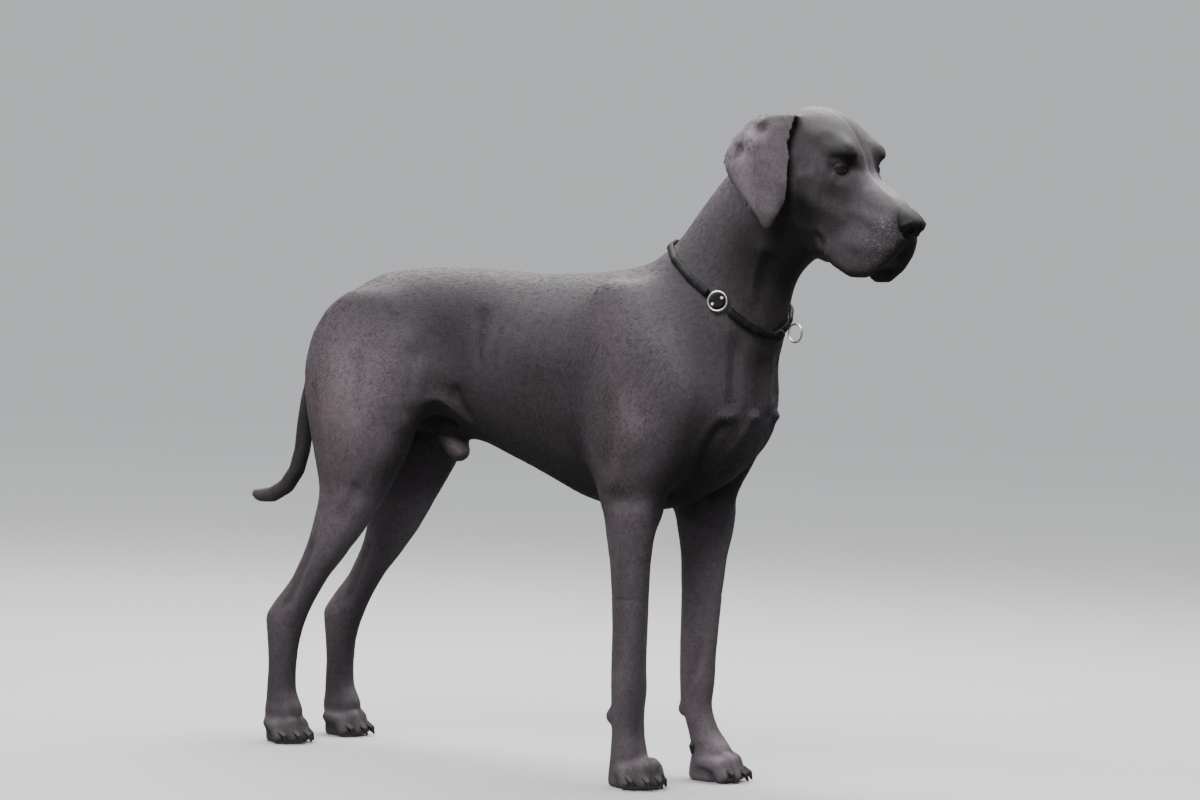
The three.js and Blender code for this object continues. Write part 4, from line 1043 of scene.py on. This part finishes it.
# Collar: two runs of black rolled leather, sewn along the inside, with a leather keeper at the throat
# and a leather disc inside the ring on the right side of the neck.
leather = Finish("collar_leather", Specular_IOR_Level=0.16)
pores = {"Vector": leather.spot(), "Scale": 700.0}
grain = leather.node("TexVoronoi", {"feature": "DISTANCE_TO_EDGE"}, pores)
wear = leather.noise(60, 4.0, 0.6)
worn = leather.mixed(wear.ramp(0.45, 0.75), (0.006, 0.006, 0.007), (0.018, 0.018, 0.021))
leather.set("Base Color", worn)
leather.set("Roughness", wear * 0.25 + 0.45)
creased = grain.ramp(0.0, 0.25) + leather.noise(240, 3.0) * 0.5
leather.set("Normal", leather.bump(creased, 0.35 * MM, 0.5))
STRAP_GRAIN = 1.3 * MM
for node in ("strap_back", "strap_front", "slider", "side_patch"):
    strap = Clay(cast_round([solid_copy(node, 0.3 * MM)], STRAP_GRAIN), STRAP_GRAIN)
    strap.draw_smooth(2.6 * MM if node.startswith("strap") else 1.2 * MM)
    strap.mesh.shade_smooth()
    put_on(f"{node}_leather", strap.mesh, leather, [node])

# Rings: two welded hoops of round steel wire, chromed and lightly scuffed.
# One lies round the disc at the side of the neck, the other hangs at the throat, for a lead.
chrome = Finish("chrome", Metallic=1.0)
scuff = chrome.noise(90, 4.0, 0.6)
chrome.set("Base Color", chrome.mixed(scuff, (0.62, 0.60, 0.57), (0.78, 0.77, 0.75)))
chrome.set("Roughness", scuff * 0.2 + 0.25)


def ring_like(node, name):
    """A true round ring in place of a CAD ring, on the same middle, axis and size."""
    merged = solid_copy(node, 0)
    spots = np.array([vert.co for vert in merged.vertices])
    middle = (spots.min(0) + spots.max(0)) / 2
    axes = np.linalg.svd(spots - middle, full_matrices=False)[2]
    axis = axes[2]
    outwards = spots - middle
    flat = np.linalg.norm(outwards - (outwards @ axis)[:, None] * axis, axis=1)
    wire = (flat.max() - flat.min()) / 2
    radius = flat.max() - wire
    start = Vector(middle + axes[0] * radius)
    ring = bmesh.new()
    circle = bmesh.ops.create_circle(ring, segments=16, radius=wire)["verts"]
    stand = Matrix((axes[0], axis, -np.cross(axes[0], axis))).transposed().to_4x4()
    bmesh.ops.transform(ring, matrix=Matrix.Translation(start) @ stand, verts=circle)
    hoop = {"cent": middle, "axis": axis, "angle": 2 * math.pi, "steps": 64, "use_merge": True}
    bmesh.ops.spin(ring, geom=ring.edges[:], **hoop)
    bmesh.ops.remove_doubles(ring, verts=ring.verts, dist=MERGE)
    bmesh.ops.recalc_face_normals(ring, faces=ring.faces)
    mesh = mesh_of(ring, name)
    mesh.shade_smooth()
    put_on(name, mesh, chrome, [node])


ring_like("side_ring", "chrome_side_ring")
ring_like("lead_ring", "chrome_lead_ring")

# Rivets: two small domed heads of dull white metal, driven through the leather disc inside its ring.
# They keep the shape of their CAD nodes and only get a finish.
rivet = Finish("rivet", Metallic=0.5, Roughness=0.4)
rivet.set("Base Color", rivet.mixed(rivet.noise(300), (0.62, 0.60, 0.56), (0.85, 0.84, 0.82)))
for node in ("rivet_1", "rivet_2"):
    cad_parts[node].data.materials.clear()
    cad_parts[node].data.materials.append(rivet.material)

# Studio: a plain pale floor and backdrop under soft light, most of it from above, as from an open sky.
# Only the camera sees the two: they throw no light back, so that chest and belly fall into shade.
SKY_COLOUR = (0.78, 0.8, 0.82)
AMBIENT, BACKDROP, FLOOR_TONE = 0.34, 0.68, 0.45
FLOOR_HALF_SIDE, DOME_RADIUS = 60, 45
FLOOR_FADES_FROM, FLOOR_FADES_TO = 1.0, 8.0


def studio_piece(name, shape, **sockets):
    """A piece of the studio that the camera sees and that neither lights nor shades the dog."""
    piece = in_scene(name, mesh_of(shape, name))
    for ray in ("diffuse", "glossy", "transmission", "shadow"):
        setattr(piece, f"visible_{ray}", False)
    finish = Finish(name, Roughness=0.9, Specular_IOR_Level=0.0, **sockets)
    piece.data.materials.append(finish.material)
    return finish


ground = bmesh.new()
bmesh.ops.create_grid(ground, x_segments=1, y_segments=1, size=FLOOR_HALF_SIDE)
floor = studio_piece("floor", ground, Base_Color=(FLOOR_TONE, FLOOR_TONE, FLOOR_TONE))
distance = floor.node("VectorMath", {"operation": "LENGTH"}, {0: floor.spot()}, output=1)
faded = distance.ramp(FLOOR_FADES_FROM, FLOOR_FADES_TO)
floor.set("Emission Color", floor.tinted(SKY_COLOUR, faded))
floor.set("Emission Strength", BACKDROP - FLOOR_TONE * AMBIENT)
dome = bmesh.new()
bmesh.ops.create_icosphere(dome, subdivisions=4, radius=DOME_RADIUS)
backdrop = studio_piece("backdrop", dome, Base_Color=(0.0, 0.0, 0.0))
backdrop.set("Emission Color", SKY_COLOUR)
backdrop.set("Emission Strength", BACKDROP)


def softbox(name, place, aim, size, power):
    """A rectangular soft lamp that shines from one place to another."""
    lamp = bpy.data.lights.new(name, "AREA")
    lamp.shape = "RECTANGLE"
    lamp.size, lamp.size_y = size
    lamp.energy = power
    stand = in_scene(name, lamp)
    stand.location = place
    stand.rotation_euler = (Vector(aim) - Vector(place)).to_track_quat("-Z", "Y").to_euler()


softbox("sky", place=(-0.5, 1.2, 3.4), aim=(-0.1, 0.3, 0), size=(5.0, 3.4), power=480)
softbox("key", place=(0.2, -2.7, 3.5), aim=(0.1, 0, 0.7), size=(3.0, 2.0), power=215)
world = bpy.data.worlds.new("studio")
world.use_nodes = True
sky = world.node_tree.nodes["Background"]
sky.inputs["Color"].default_value = (*SKY_COLOUR, 1)
sky.inputs["Strength"].default_value = AMBIENT
bpy.context.scene.world = world

# Camera: it stands off the dog's right shoulder, about as high as the withers, and is turned and tilted
# as in the photograph. Its lens is 3890 pixels long on a picture 1200 pixels wide.
CAMERA_AT = (3.693, -5.362, 0.885)
CAMERA_TURN, CAMERA_PITCH, CAMERA_ROLL = math.radians(34.1), math.radians(2.31), math.radians(2.0)
LENS_PIXELS, PHOTO_WIDTH = 3890, 1200
SENSOR_WIDTH, FARTHEST_SEEN = 36, 200
lens = bpy.data.cameras.new("camera")
lens.sensor_width = SENSOR_WIDTH
lens.lens = lens.sensor_width * LENS_PIXELS / PHOTO_WIDTH
lens.clip_end = FARTHEST_SEEN
camera = in_scene("camera", lens)
look = Matrix.Rotation(CAMERA_TURN, 4, "Z") @ Matrix.Rotation(math.pi / 2 - CAMERA_PITCH, 4, "X")
camera.matrix_world = Matrix.Translation(CAMERA_AT) @ look @ Matrix.Rotation(CAMERA_ROLL, 4, "Z")
bpy.context.scene.camera = camera
